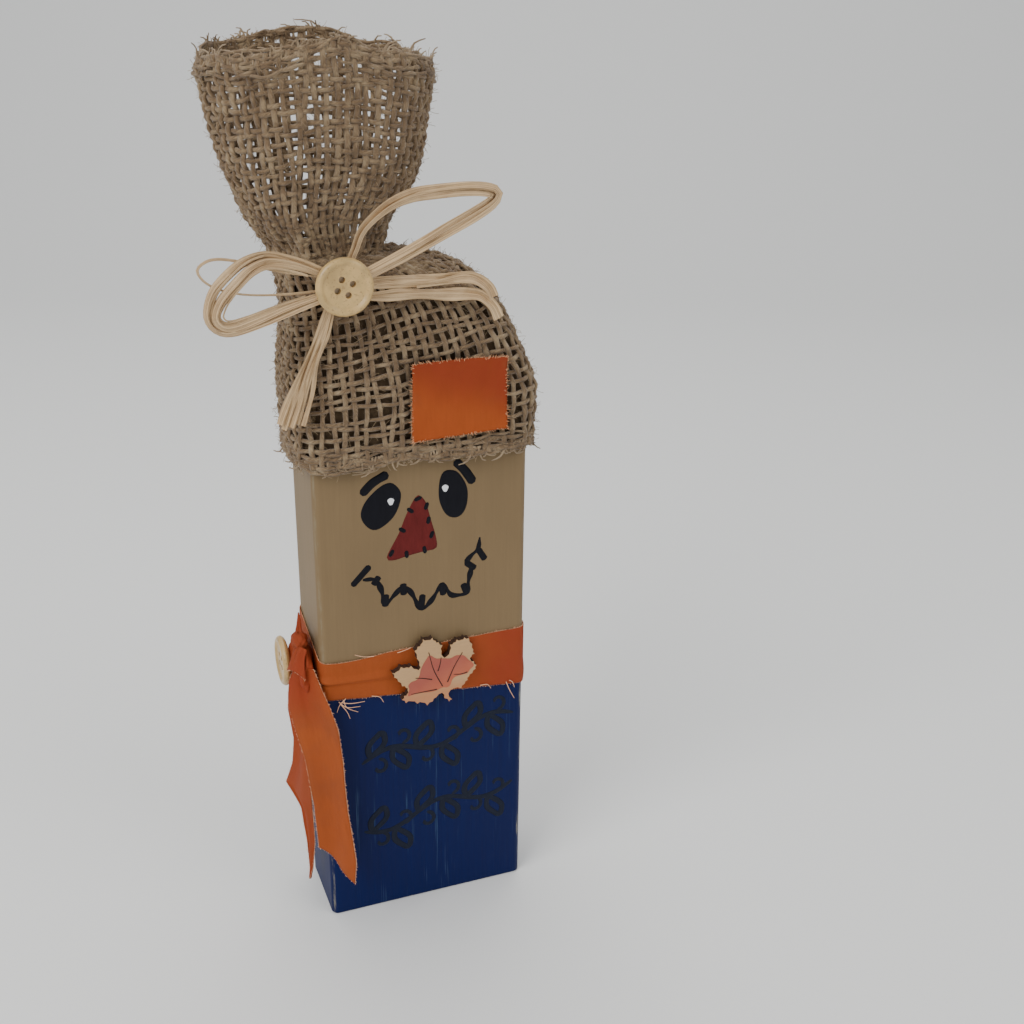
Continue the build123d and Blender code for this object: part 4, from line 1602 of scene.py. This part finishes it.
@dataclass
class RaffiaBow:
    """Raffia bow under the hat's button: loops, arms, a stray strand and a cut tail."""

    thickness: float = 0.42 * MM
    slub: tuple = (0.18, 20 * MM)
    ridges: float = 0.35
    string: float = 1.0 * MM
    turns: int = 3
    points: int = 70
    bundles: tuple = (
        RaffiaBundle("raffia_loop_left_straw", (
            (-33.5, 284.5), (-40, 287.8), (-48.5, 291.4), (-57.6, 293.4), (-64.5, 291.4),
            (-70.6, 286.6), (-75.8, 281.0), (-78.2, 274.6), (-76.2, 270.4), (-71.5, 269.2),
            (-62, 271.8), (-50, 275.8), (-34.5, 280.2)), "raffia_loop_left", 4, 4.4, 8.0, 4.6,
            2.7, 1),
        RaffiaBundle("raffia_loop_right_straw", (
            (-31.0, 286.2), (-27.2, 294.6), (-23.6, 302), (-15, 308.8), (-6, 312.4), (3, 313.8),
            (14, 314.8), (22.4, 314.4), (27.0, 312.6), (25.4, 309.4), (19, 305.6), (8, 300.2),
            (-6, 293.2), (-27.8, 283.2)), "raffia_loop_right", 3, 4.4, 5.8, 5.2, 2.9, 2),
        RaffiaBundle("raffia_stray_straw", (
            (-34.4, 284.6), (-54, 288.2), (-68.8, 293), (-77.3, 293.9), (-82.2, 290.4),
            (-78.8, 285), (-69.2, 281.2), (-54, 280.2), (-34.4, 281)), "raffia_stray", 1, 0.2,
            0.3, 0.2, 1.2, 3),
        RaffiaBundle("raffia_arm_upper_straw", (
            (-28, 281.9), (-10, 281.4), (5, 281.8), (15, 282.2), (20, 281), (24.5, 277.6),
            (26.8, 273.6)), "raffia_arm_upper", 2, 3.8, 5.2, 4.8, 3.4, 4),
        RaffiaBundle("raffia_arm_lower_straw", (
            (-28.5, 277.8), (-10, 276.6), (5, 276.4), (15, 276.0), (21.5, 274.6),
            (26.6, 270.2), (29.2, 265.4)), "raffia_arm_lower", 2, 3.6, 4.8, 4.6, 3.2, 5),
        RaffiaBundle("raffia_tail_straw", (
            (-33.3, 280), (-38.5, 267), (-45.3, 249.5), (-53.2, 228.3)), "raffia_tail", 5,
            3.6, 6.6, 11.0, 2.3, 6, True),
    )

    def strands(self, bundle: RaffiaBundle, front: float, room: float) -> list:
        """Strands of one bundle, side by side with overlaps.

        Args:
            bundle: which bundle.
            front: y of its middle.
            room: how far strands may stand in front and behind.

        Returns:
            The strands' centre lines.
        """
        dice = np.random.default_rng(40 + bundle.seed)
        count = self.points
        line = even_line(np.asarray(bundle.middle), count)
        heading = unit(np.gradient(line, axis=0))
        across = np.stack([-heading[:, 1], heading[:, 0]], 1)
        t = np.linspace(0, 1, count)
        width = np.interp(t, [0, 0.45, 0.9, 1], [bundle.start_width, bundle.wide,
                                                 bundle.end_width, bundle.end_width])
        out = []
        for k in range(bundle.strands):
            share = 0.0 if bundle.strands == 1 else k / (bundle.strands - 1) - 0.5
            room_across = np.maximum(width - bundle.strand_width, 0)
            phase, pace = dice.uniform(0, 6.28), dice.uniform(1.0, 2.4)
            sway = 0.5 * np.sin(phase + pace * 2 * np.pi * t) * np.sin(np.pi * t)
            place = line + across * (share * room_across + sway)[:, None]
            level = (k % 2 - 0.5) * 0.9 + 0.35 * np.sin(phase + 4 * t)
            y = front + level * room
            stop = count
            if bundle.frayed_end:
                stop = count - int(dice.integers(0, 7))
            tilt = 0.85 * np.sin(phase * 2 + pace * 5 * t)
            facing = np.stack([across[:, 0] * tilt, -np.ones(count), across[:, 1] * tilt], 1)
            reach = np.interp(t, [0, 0.12, 0.5, 0.85, 1], [0.62, 0.85, 1.0, 1.0, 0.85])
            reach = reach * (1 + 0.16 * np.sin(phase + 9 * t)) * dice.uniform(0.85, 1.12)
            points = np.stack([place[:, 0] * MM, y, place[:, 1] * MM], 1)
            out.append(Strand(points[:stop], unit(facing)[:stop], reach[:stop]))
        for _ in range(bundle.strands - 1):
            share = dice.uniform(-0.55, 0.55)
            place = line + across * (share * width)[:, None]
            y = np.full(count, front) - room * dice.uniform(0.6, 1.1)
            begin, stop = sorted(dice.integers(4, count - 2, 2))
            if stop - begin > 12:
                points = np.stack([place[:, 0] * MM, y, place[:, 1] * MM], 1)
                out.append(Strand(points[begin:stop], reach=np.linspace(0.3, 0.16,
                                                                         stop - begin)))
        return out

    def build(self) -> None:
        """Make each bundle in front of the layer that its CAD node holds, and the tie."""
        straw = RaffiaStraw().material()
        for bundle in self.bundles:
            low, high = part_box(bundle.node)
            strands = self.strands(bundle, (low.y + high.y) / 2, (high.y - low.y) * 0.36)
            piece = swept(bundle.name, strands, straw, bundle.strand_width * MM,
                          self.thickness, 20, self.slub, float(bundle.seed), self.ridges)
            mount([piece])
            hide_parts(bundle.node)
        self.tie()

    def tie(self) -> None:
        """Make the turns of thin jute string that gather the neck."""
        low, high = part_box("raffia_neck_tie")
        middle, half = (low + high) / 2, (high - low) / 2
        angles = np.linspace(0, 2 * np.pi * self.turns, 60 * self.turns)
        inset = 2.3 * MM
        points = np.stack([middle.x + (half.x - inset) * np.sin(angles),
                           middle.y + (half.y - inset) * np.cos(angles),
                           middle.z - 1.0 * MM + 2.2 * MM * angles / angles[-1]], 1)
        away = np.stack([np.sin(angles), np.cos(angles), 0 * angles], 1)
        jute = JuteYarn("neck_string_jute").material()
        piece = swept("hat_neck_string", [Strand(points, away)], jute, self.string,
                      sides=8, slub=(0.4, 6 * MM))
        mount([piece])
        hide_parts("raffia_neck_tie", "raffia_knot")


@dataclass(frozen=True)
class TailCut:
    """One hanging tail of the scarf: its plane, side edges and folds, in millimetres."""

    name: str
    node: str
    body: str
    across: tuple
    origin: tuple
    left: tuple
    right: tuple
    fold: float
    turn: float
    crease: float
    cloth: str
    redness: float
    picked: tuple


@dataclass
class RibbonScarf:
    """Dyed ribbon scarf: band round the block, wrapped knot and two swinging tails."""

    thickness: float = 0.45 * MM
    proud: float = 0.55 * MM
    corner: float = 3.4 * MM
    top_front: float = 127.9 * MM
    bottom_front: float = 105.8 * MM
    rise_to_back: float = 0.236
    top_slope: float = 0.019
    bottom_slope: float = -0.0955
    band_rows: int = 30
    ribbon_width: float = 0.0254
    pick_width: float = 0.24 * MM
    loose_width: tuple = (0.4 * MM, 0.35 * MM)
    knot_thickness: float = 0.5 * MM
    tail_grid: tuple = (60, 22)
    hinge: tuple = (1.5 * MM, -5.0 * MM)
    roots: tuple = ((-38, 108.5, 9, 4), (-37, 108, 10, 1.5), (-36, 109, 6, 7),
                    (-35, 109.5, -4, 6), (-24, 108.5, 5, 4), (-37.5, 107.5, 4, 8),
                    (24, 104.2, 5, 2.5), (36, 103.5, 4, 9), (37.5, 104, 2.5, 4),
                    (-22.5, 127.0, -8, -2.0), (-12.5, 126.8, 6, -1.2))
    tails: tuple = (
        TailCut("scarf_tail_front_ribbon", "scarf_tail_front", TAIL_FRONT,
                (0.70711, -0.70711, 0.0), (-45.58, -20.18, 112.0),
                ((-11.4, 12.5), (-14.0, 5.0), (-14.2, -6), (-11.4, -18), (-7.1, -32),
                 (-3.9, -51), (-3.0, -73.5)),
                ((-2.6, 12.5), (1.6, 4.5), (5.8, -3), (9.0, -12), (10.9, -28), (12.2, -52),
                 (14.9, -76), (14.2, -87.4)),
                0.9, 0.4, 1.4, "scarf_tail_cloth", -0.05, ("left", "right", "bottom")),
        TailCut("scarf_tail_rear_ribbon", "scarf_tail_rear", TAIL_REAR,
                (0.2588, -0.9659, 0.0), (-45.951, -17.256, 106.7),
                ((-17.0, 15), (-19.5, 4), (-25.3, -12.7), (-22.4, -26.7), (-25.3, -40.7),
                 (-32.6, -55.2), (-25.3, -56.6), (-18.1, -60.2), (-14.9, -74.7),
                 (-14.4, -95.7)),
                ((-5.0, 15), (-7.4, 3), (-9.0, -36.7), (-9.0, -72.7), (-11.4, -88.7),
                 (-13.9, -95.9)),
                0.8, 1.9, 0.0, "scarf_rear_tail_cloth", 0.65, ("left", "right")))

    def colour(self, name: str, extra: float = 0.0) -> Material:
        """Ribbon cloth that reddens to the right of the band and round its knot."""
        def redness(g: Graph) -> Socket:
            """Share of red by place, from 0 to 1 and beyond."""
            x, _, z = g.axes()
            right = g.steps(x, 0.004, 0.040)
            knot = g.times(g.minus(1.0, g.steps(x, -0.052, -0.040)), g.steps(z, 0.085, 0.118))
            return g.plus(g.math("MAXIMUM", right, knot), extra)
        return RibbonCloth(name).material(redness)

    def outline(self, low: Vector, high: Vector) -> Array:
        """Rounded rectangle that the band follows round the block, from its back."""
        out = self.proud
        hx, hy, r = high.x + out, high.y + out, self.corner
        points = []
        for cx, cy, first in ((hx - r, hy - r, 0), (hx - r, -hy + r, 90),
                              (-hx + r, -hy + r, 180), (-hx + r, hy - r, 270)):
            for a in np.radians(first + np.linspace(0, 90, 7)):
                points.append((cx + r * math.sin(a), cy + r * math.cos(a)))
        return even_line(points, 260, True, smooth=False)

    def band(self, low: Vector, high: Vector) -> tuple:
        """Shape the band.

        Args:
            low: lowest corner of the block.
            high: highest corner of the block.

        Returns:
            The grid of its middle surface, and the outline that it follows.
        """
        ring = self.outline(low, high)
        x, y = ring[None, :, 0], ring[None, :, 1]
        back = y - low.y
        top = self.top_front + self.top_slope * x + self.rise_to_back * back
        bottom = self.bottom_front + self.bottom_slope * x + self.rise_to_back * back
        s = np.linspace(0, 1, self.band_rows)[:, None]
        front = np.clip(1 - back / (4 * MM), 0, 1)
        dip = front * np.exp(-((x + 32 * MM) / (12 * MM)) ** 2) * 1.1 * MM
        z = bottom + (top - bottom - dip) * s
        near_knot = np.clip((20 * MM - x) / (62 * MM), 0, 1)
        pleat = np.exp(-((s - 0.42 - 0.10 * near_knot) / 0.075) ** 2) * 1.6 * MM
        crease = np.exp(-((s - 0.30 - 0.10 * near_knot) / 0.05) ** 2) * -0.25 * MM
        waves = 0.22 * MM * np.sin(6 * s + x * 150) + 0.15 * MM * np.sin(x * 420 + 11 * s)
        bulge = (pleat + crease) * near_knot ** 1.5 * front + np.maximum(waves, -0.1 * MM)
        out = unit(np.stack([np.gradient(ring[:, 1]), -np.gradient(ring[:, 0])], 1))
        if np.sum(out * ring) < 0:
            out = -out
        grid = np.stack([x + out[None, :, 0] * bulge, y + out[None, :, 1] * bulge, z], -1)
        return grid, ring

    def loose_threads(self, roots: tuple, seed: int) -> list:
        """Thin threads hanging out of a cut edge.

        Args:
            roots: (x, z, sideways, down) in millimetres of each thread on the front.
            seed: for their small bends.

        Returns:
            The threads' centre lines.
        """
        dice = np.random.default_rng(seed)
        strands = []
        for x, z, side, down in roots:
            start = np.array([x, 0, z]) * MM
            tip = start + np.array([side, 0, -down]) * MM
            middle = (start + tip) / 2 + np.array([dice.normal(0, 0.8), 0,
                                                   dice.normal(0, 0.8)]) * MM
            line = even_line([start, middle, tip], 8)
            line[:, 1] = -20.0 * MM - 0.6 * MM * np.sin(np.linspace(0.5, 3.0, 8))
            strands.append(Strand(line, reach=np.linspace(1, 0.6, 8)))
        return strands

    @staticmethod
    def side_edge(line: tuple, share: Array) -> Array:
        """Points down one side edge of a tail, spread by how far it falls."""
        points = np.array(line)
        run = np.concatenate([[0], np.cumsum(np.abs(np.diff(points[:, 1])) + 0.01)])
        return np.stack([np.interp(share * run[-1], run, points[:, k]) for k in (0, 1)], 1)

    def tail(self, cut: TailCut, material: Material) -> tuple:
        """Make one tail's sheet between its two edges, with a soft lengthwise fold.

        Args:
            cut: its plane, edges and folds.
            material: ribbon cloth.

        Returns:
            The grid of its middle surface and the sheet.
        """
        across = np.array(cut.across)
        ahead = np.array([across[1], -across[0], 0])
        rows, columns = self.tail_grid
        share = np.linspace(0, 1, rows)
        a, b = self.side_edge(cut.left, share), self.side_edge(cut.right, share)
        c = np.linspace(0, 1, columns)[None, :, None]
        flat = a[:, None] * (1 - c) + b[:, None] * c
        s, c = share[:, None], c[..., 0]
        free = np.clip(s * 6, 0, 1)
        lift = cut.fold * free * (1 + np.sin(2 * np.pi * (1.15 * c + 0.35 * s) + cut.turn))
        lift = lift + 0.35 * free * (1 + np.sin(11 * s + 2 * c))
        lift = lift + 1.0 * free * s ** 2 * (c - 0.5) ** 2 * 4
        lift = lift - cut.crease * free * np.clip(1 - 3 * s, 0, 1) * np.exp(
            -((c - 0.36) / 0.07) ** 2)
        grid = (np.array(cut.origin) + flat[..., :1] * across
                + flat[..., 1:] * np.array([0, 0, 1.0]) + lift[..., None] * ahead) * MM
        return grid, slab(cut.name, grid, self.thickness, material)

    def edge_picks(self, grid: Array, name: str,
                   material: Material, sides: tuple, seed: int,
                   length: float = 0.8) -> Piece:
        """Make the fine picked threads along a sheet's chosen edges.

        Args:
            grid: rows by columns of the sheet's middle surface.
            name: the piece's name.
            material: the thread's material.
            sides: which edges are picked.
            seed: for the threads' lengths and leans.
            length: greatest length in millimetres.

        Returns:
            The mesh piece.
        """
        dice = np.random.default_rng(seed)
        lines = {"left": grid[:, 0], "right": grid[:, -1], "bottom": grid[-1], "top": grid[0]}
        inner = {"left": grid[:, 2], "right": grid[:, -3], "bottom": grid[-3], "top": grid[2]}
        strands = []
        for side in sides:
            count = int(np.linalg.norm(np.diff(lines[side], axis=0), axis=1).sum() / (0.45 * MM))
            rim, near = even_line(lines[side], count), even_line(inner[side], count)
            away = unit(rim - near)
            for i in range(count):
                tip = rim[i] + away[i] * dice.uniform(0.25, 1.0) * length * MM
                tip = tip + dice.normal(0, 0.16, 3) * MM
                strands.append(Strand(np.array([rim[i] - away[i] * 0.4 * MM, rim[i], tip]),
                                      reach=np.array([1.0, 1.0, 0.4])))
        return swept(name, strands, material, self.pick_width, sides=4)

    def lump(self, name: str, middle: tuple, half: tuple, folds: float, lean: float,
             material: Material) -> Piece:
        """Make one closed roll of bunched ribbon; sizes in millimetres.

        Args:
            name: the piece's name.
            middle: its middle.
            half: half its width, depth and height.
            folds: depth of its folds as a share of its size.
            lean: how far its top leans back.
            material: ribbon cloth.

        Returns:
            The closed roll.
        """
        t = np.linspace(-1, 1, 36)[:, None]
        a = np.linspace(0, 2 * np.pi, 48, endpoint=False)[None, :]
        girth = (1 - np.abs(t) ** 2.6) ** 0.5 * 0.96 + 0.04
        girth = girth * (1 + folds * (np.sin(5 * a + 3.5 * t) + 0.5 * np.sin(9 * a - 6 * t)))
        grid = np.stack([middle[0] + half[0] * girth * np.cos(a),
                         middle[1] + half[1] * girth * np.sin(a) + lean * t,
                         middle[2] + half[2] * t + 0 * a], -1)
        return slab(name, grid * MM, self.knot_thickness, material, wrap=True)

    def flap(self, name: str, stations: tuple, sag: float,
             material: Material) -> tuple:
        """Make one curved flap of the knot.

        Args:
            name: the piece's name.
            stations: (place, width) in millimetres along its middle.
            sag: how far its side edges hang below its middle at the far end.
            material: ribbon cloth.

        Returns:
            The grid of its middle surface and the sheet.
        """
        places = even_line([place for place, _ in stations], 26)
        widths = even_line([[width, 0.0] for _, width in stations], 26)[:, 0]
        heading = unit(np.gradient(places, axis=0))
        across = unit(np.cross(heading, (-0.82, -0.57, 0.0)))
        proud = unit(np.cross(across, heading))
        c = np.linspace(-1, 1, 20)[None, :, None]
        s = np.linspace(0, 1, 26)[:, None, None]
        arch = -(c ** 2) * 0.22 * widths[:, None, None]
        ridges = 0.35 * np.cos(c * 7 + 2.0 * s) * np.sin(np.pi * np.clip(s + 0.12, 0, 1))
        grid = (places[:, None] + across[:, None] * c * widths[:, None, None] / 2
                + proud[:, None] * (arch + ridges) + heading[:, None] * c ** 2 * s * sag) * MM
        return grid, slab(name, grid, self.knot_thickness, material)

    def knot_pieces(self, material: Material, thread: Material) -> list:
        """Make the knot: core, small roll, a flap that falls over the tails, an upper end.

        Args:
            material: ribbon cloth.
            thread: the picked threads' material.

        Returns:
            The pieces, the core first.
        """
        low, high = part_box("scarf_knot")
        middle, half = (low + high) / 2 / MM, (high - low) / 2 / MM
        core = self.lump("scarf_knot_core", middle + Vector((-0.1, 1.6, 0.2)),
                         (half.x, half.y * 0.90, half.z * 0.76), 0.10, 1.0, material)
        roll = self.lump("scarf_knot_roll", (-50.6, -8.6, 133.8), (3.1, 3.6, 3.0), 0.07, 0.6,
                         material)
        wrap_grid, wrap = self.flap("scarf_knot_wrap", (
            ((-50.8, -13.6, 133.0), 4.6), ((-52.6, -14.4, 130.4), 6.0),
            ((-54.0, -15.0, 127.0), 7.6), ((-54.9, -15.2, 123.6), 10.0)), 2.3, material)
        _, end = self.flap("scarf_knot_upper_end", (
            ((-51.4, -8.4, 133.4), 5.4), ((-50.6, -5.6, 136.8), 4.8),
            ((-49.7, -3.0, 139.2), 3.4), ((-49.1, -1.0, 140.8), 2.0),
            ((-48.7, 0.2, 141.8), 0.6)), 0.0, material)
        picks = self.edge_picks(wrap_grid, "scarf_knot_wrap_threads", thread,
                                ("bottom",), 13, 0.6)
        return [core, roll, wrap, end, picks]

    def build(self) -> None:
        """Make the band, the knot, the tails and their loose threads."""
        low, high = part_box("wood_block")
        cloth = self.colour("scarf_ribbon_cloth")
        thread = FlatPaint("ribbon_thread", (0.86, 0.50, 0.30), 0.7, 0.15).material()
        grid, ring = self.band(low, high)
        band = slab("scarf_band_ribbon", grid, self.thickness, cloth, wrap=True)
        open_grid = grid[:, np.r_[np.arange(grid.shape[1]), 0]]
        band_edges = self.edge_picks(open_grid, "scarf_band_edge_threads", thread,
                                     ("top", "bottom"), 5, 0.6)
        loose = swept("scarf_loose_threads", self.loose_threads(self.roots, 8), thread,
                      *self.loose_width, 5)
        knot = self.knot_pieces(self.colour("scarf_knot_cloth", 0.25), thread)
        mount([band, band_edges, loose] + knot)
        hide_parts("scarf_band")
        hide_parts("scarf_knot", "scarf_knot_glue")
        for cut in self.tails:
            self.hang(cut, thread)

    def hang(self, cut: TailCut, thread: Material) -> None:
        """Make one tail with its picked threads.

        Args:
            cut: its plane, edges, folds and cloth.
            thread: the picked threads' material.
        """
        grid, tail = self.tail(cut, self.colour(cut.cloth, cut.redness))
        picks = self.edge_picks(grid, cut.name + "_threads", thread, cut.picked, 9, 0.7)
        for piece in (tail, picks):
            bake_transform(piece)
        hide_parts(cut.node)


@dataclass
class MapleLeaf:
    """Cut plywood maple leaf with a printed body and burnt veins; x, z in millimetres."""

    edge: tuple = (
        (8.9, 101.2), (10.0, 101.8), (8.3, 105.0), (10.9, 107.2), (14.2, 106.5), (15.7, 108.4),
        (17.0, 109.9), (17.6, 111.6), (19.1, 112.9), (20.6, 114.7), (21.0, 116.2),
        (19.8, 118.2), (18.2, 119.3), (18.7, 121.0), (20.1, 122.0), (19.5, 123.9),
        (19.0, 126.6), (17.6, 129.6), (15.7, 130.3), (14.3, 129.4), (12.4, 129.9),
        (11.0, 128.6), (9.5, 128.1), (9.5, 125.1), (7.9, 122.7), (6.2, 122.8), (5.4, 125.9),
        (5.9, 128.4), (4.3, 130.0), (2.9, 131.0), (1.7, 132.6), (-0.5, 131.9), (-2.4, 132.8),
        (-3.1, 130.6), (-4.6, 129.6), (-5.9, 128.0), (-4.9, 124.3), (-3.9, 120.9),
        (-3.9, 119.0), (-5.2, 119.0), (-7.7, 121.1), (-9.6, 120.8), (-12.0, 121.5),
        (-14.0, 119.5), (-15.8, 119.6), (-14.8, 117.3), (-13.2, 115.2), (-11.6, 112.6),
        (-10.0, 111.6), (-9.2, 110.0), (-9.5, 108.2), (-10.8, 107.6), (-11.8, 106.0),
        (-10.2, 104.3), (-8.0, 104.8), (-5.2, 103.0), (-3.1, 103.2), (-0.9, 101.3),
        (1.4, 102.7), (3.0, 104.4), (5.8, 106.1), (6.9, 103.2))
    print_edge: tuple = (
        (0.5, 124.8), (3.2, 122.8), (6.0, 122.4), (9.5, 121.7), (12.0, 122.6), (15.4, 122.0),
        (17.6, 119.5), (19.3, 117.9), (19.9, 116.4), (18.2, 114.8), (17.0, 113.3),
        (14.2, 112.9), (12.0, 112.7), (10.3, 111.5), (9.4, 109.0), (7.9, 108.1), (5.9, 108.5),
        (3.1, 107.6), (0.3, 107.4), (-4.1, 107.8), (-7.4, 107.5), (-9.3, 107.2), (-8.9, 109.3),
        (-8.6, 110.6), (-9.1, 112.1), (-7.8, 113.6), (-5.3, 114.3), (-4.0, 116.4),
        (-3.6, 118.4), (-2.8, 120.4), (-1.2, 123.0))
    veins: tuple = (((0.0, 126.3), (2.1, 117.6), (5.9, 109.1)),
                    ((5.4, 122.9), (4.8, 119.5), (3.9, 116.7)),
                    ((14.8, 123.6), (11.2, 117.7), (8.1, 110.7)),
                    ((-5.9, 115.2), (-2.3, 114.4), (1.3, 113.2)),
                    ((-7.9, 107.9), (-2.4, 108.0), (3.4, 108.1)),
                    ((10.9, 113.8), (14.2, 113.4), (17.0, 113.8)))
    vein_size: tuple = (0.62 * MM, 0.22 * MM)
    print_rise: float = 0.12 * MM
    bite: float = 0.32 * MM

    @staticmethod
    def toothed(line: Array, bite: float) -> Array:
        """Outline with its corners sharpened by small bites between them."""
        after = np.roll(line, -1, 0)
        way = unit(after - line)
        inward = np.stack([-way[:, 1], way[:, 0]], 1)
        turn = np.sign(signed_area(line))
        bites = (line + after) / 2 + inward * bite * turn
        corners = line - unit(np.roll(inward, 1, 0) + inward) * bite * 0.7 * turn
        return np.stack([corners, bites], 1).reshape(-1, 2)

    @staticmethod
    def flat_shape(name: str, line: Array, front: float, back: float,
                   material: Material) -> Piece:
        """Extrude an x, z outline between two depths as a closed solid.

        Args:
            name: the piece's name.
            line: the outline, in metres.
            front: y of its front face.
            back: y of its rear face.
            material: its material.

        Returns:
            The flat-shaded solid.
        """
        line = line if signed_area(line) > 0 else line[::-1]
        curve = bpy.data.curves.new(name, "CURVE")
        curve.dimensions = "2D"
        spline = curve.splines.new("POLY")
        spline.points.add(len(line) - 1)
        for point, (x, z) in zip(spline.points, line):
            point.co = (x, z, 0, 1)
        spline.use_cyclic_u = True
        curve.fill_mode = "BOTH"
        curve.extrude = (back - front) / 2
        maker = bpy.data.objects.new(name, curve)
        bpy.context.scene.collection.objects.link(maker)
        graph = bpy.context.evaluated_depsgraph_get()
        mesh = bpy.data.meshes.new_from_object(maker.evaluated_get(graph))
        bpy.data.objects.remove(maker)
        bpy.data.curves.remove(curve)
        turned = Matrix(((1, 0, 0, 0), (0, 0, -1, (front + back) / 2), (0, 1, 0, 0),
                         (0, 0, 0, 1)))
        mesh.transform(turned)
        mesh.materials.clear()
        mesh.materials.append(material)
        obj = bpy.data.objects.new(name, mesh)
        bpy.context.scene.collection.objects.link(obj)
        work = bmesh.new()
        work.from_mesh(mesh)
        bmesh.ops.remove_doubles(work, verts=work.verts, dist=1e-6)
        bmesh.ops.recalc_face_normals(work, faces=work.faces)
        work.to_mesh(mesh)
        work.free()
        mesh.polygons.foreach_set("use_smooth", [False] * len(mesh.polygons))
        return obj

    def build(self) -> None:
        """Cut the leaf, print its body and burn its veins."""
        low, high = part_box("maple_leaf")
        front, back = low.y, high.y
        leaf = self.flat_shape("maple_leaf_plywood", self.toothed(
            np.asarray(self.edge) * MM, self.bite), front, back, LeafWood().material())
        printed = self.flat_shape("maple_leaf_print", even_line(
            np.asarray(self.print_edge) * MM, 90, True), front - self.print_rise,
            front + 0.1 * MM, LeafInk().material())
        reach = np.linspace(0.55, 1.0, 12)
        lines = [Strand(flat_line(vein, 12, front - self.print_rise), reach=reach)
                 for vein in self.veins]
        burnt = FlatPaint("burnt_vein", (0.05, 0.022, 0.018), 0.7).material()
        veins = swept("maple_leaf_veins", lines, burnt, *self.vein_size)
        mount([leaf, printed, veins])
        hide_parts("maple_leaf")


def main() -> None:
    """Build the scene piece by piece."""
    logging.basicConfig(level=logging.INFO, format="%(name)s: %(message)s")
    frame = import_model()
    nodes = frame["nodes"]
    StudioStage().build()
    low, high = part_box("wood_block")
    assign(nodes["wood_block"], BlockPaint().material(low, high))
    PaintedFace().build(low.y)
    VineFlourish().build(low.y)
    LOG.info("painted block, face and sprigs done")
    SackHat().build(nodes["hat_sack"])
    HatPatch().build()
    LOG.info("hat and patch done")
    RaffiaBow().build()
    LOG.info("raffia bow done")
    RibbonScarf().build()
    LOG.info("ribbon scarf done")
    MapleLeaf().build()
    shell, glue = CoconutShell().material(), GluePool().material()
    for name, node in nodes.items():
        if name.endswith("glue"):
            assign(node, glue)
        elif name.endswith("button"):
            assign(node, shell)
    LOG.info("leaf, buttons and glue done")


if __name__ == "__main__":
    main()
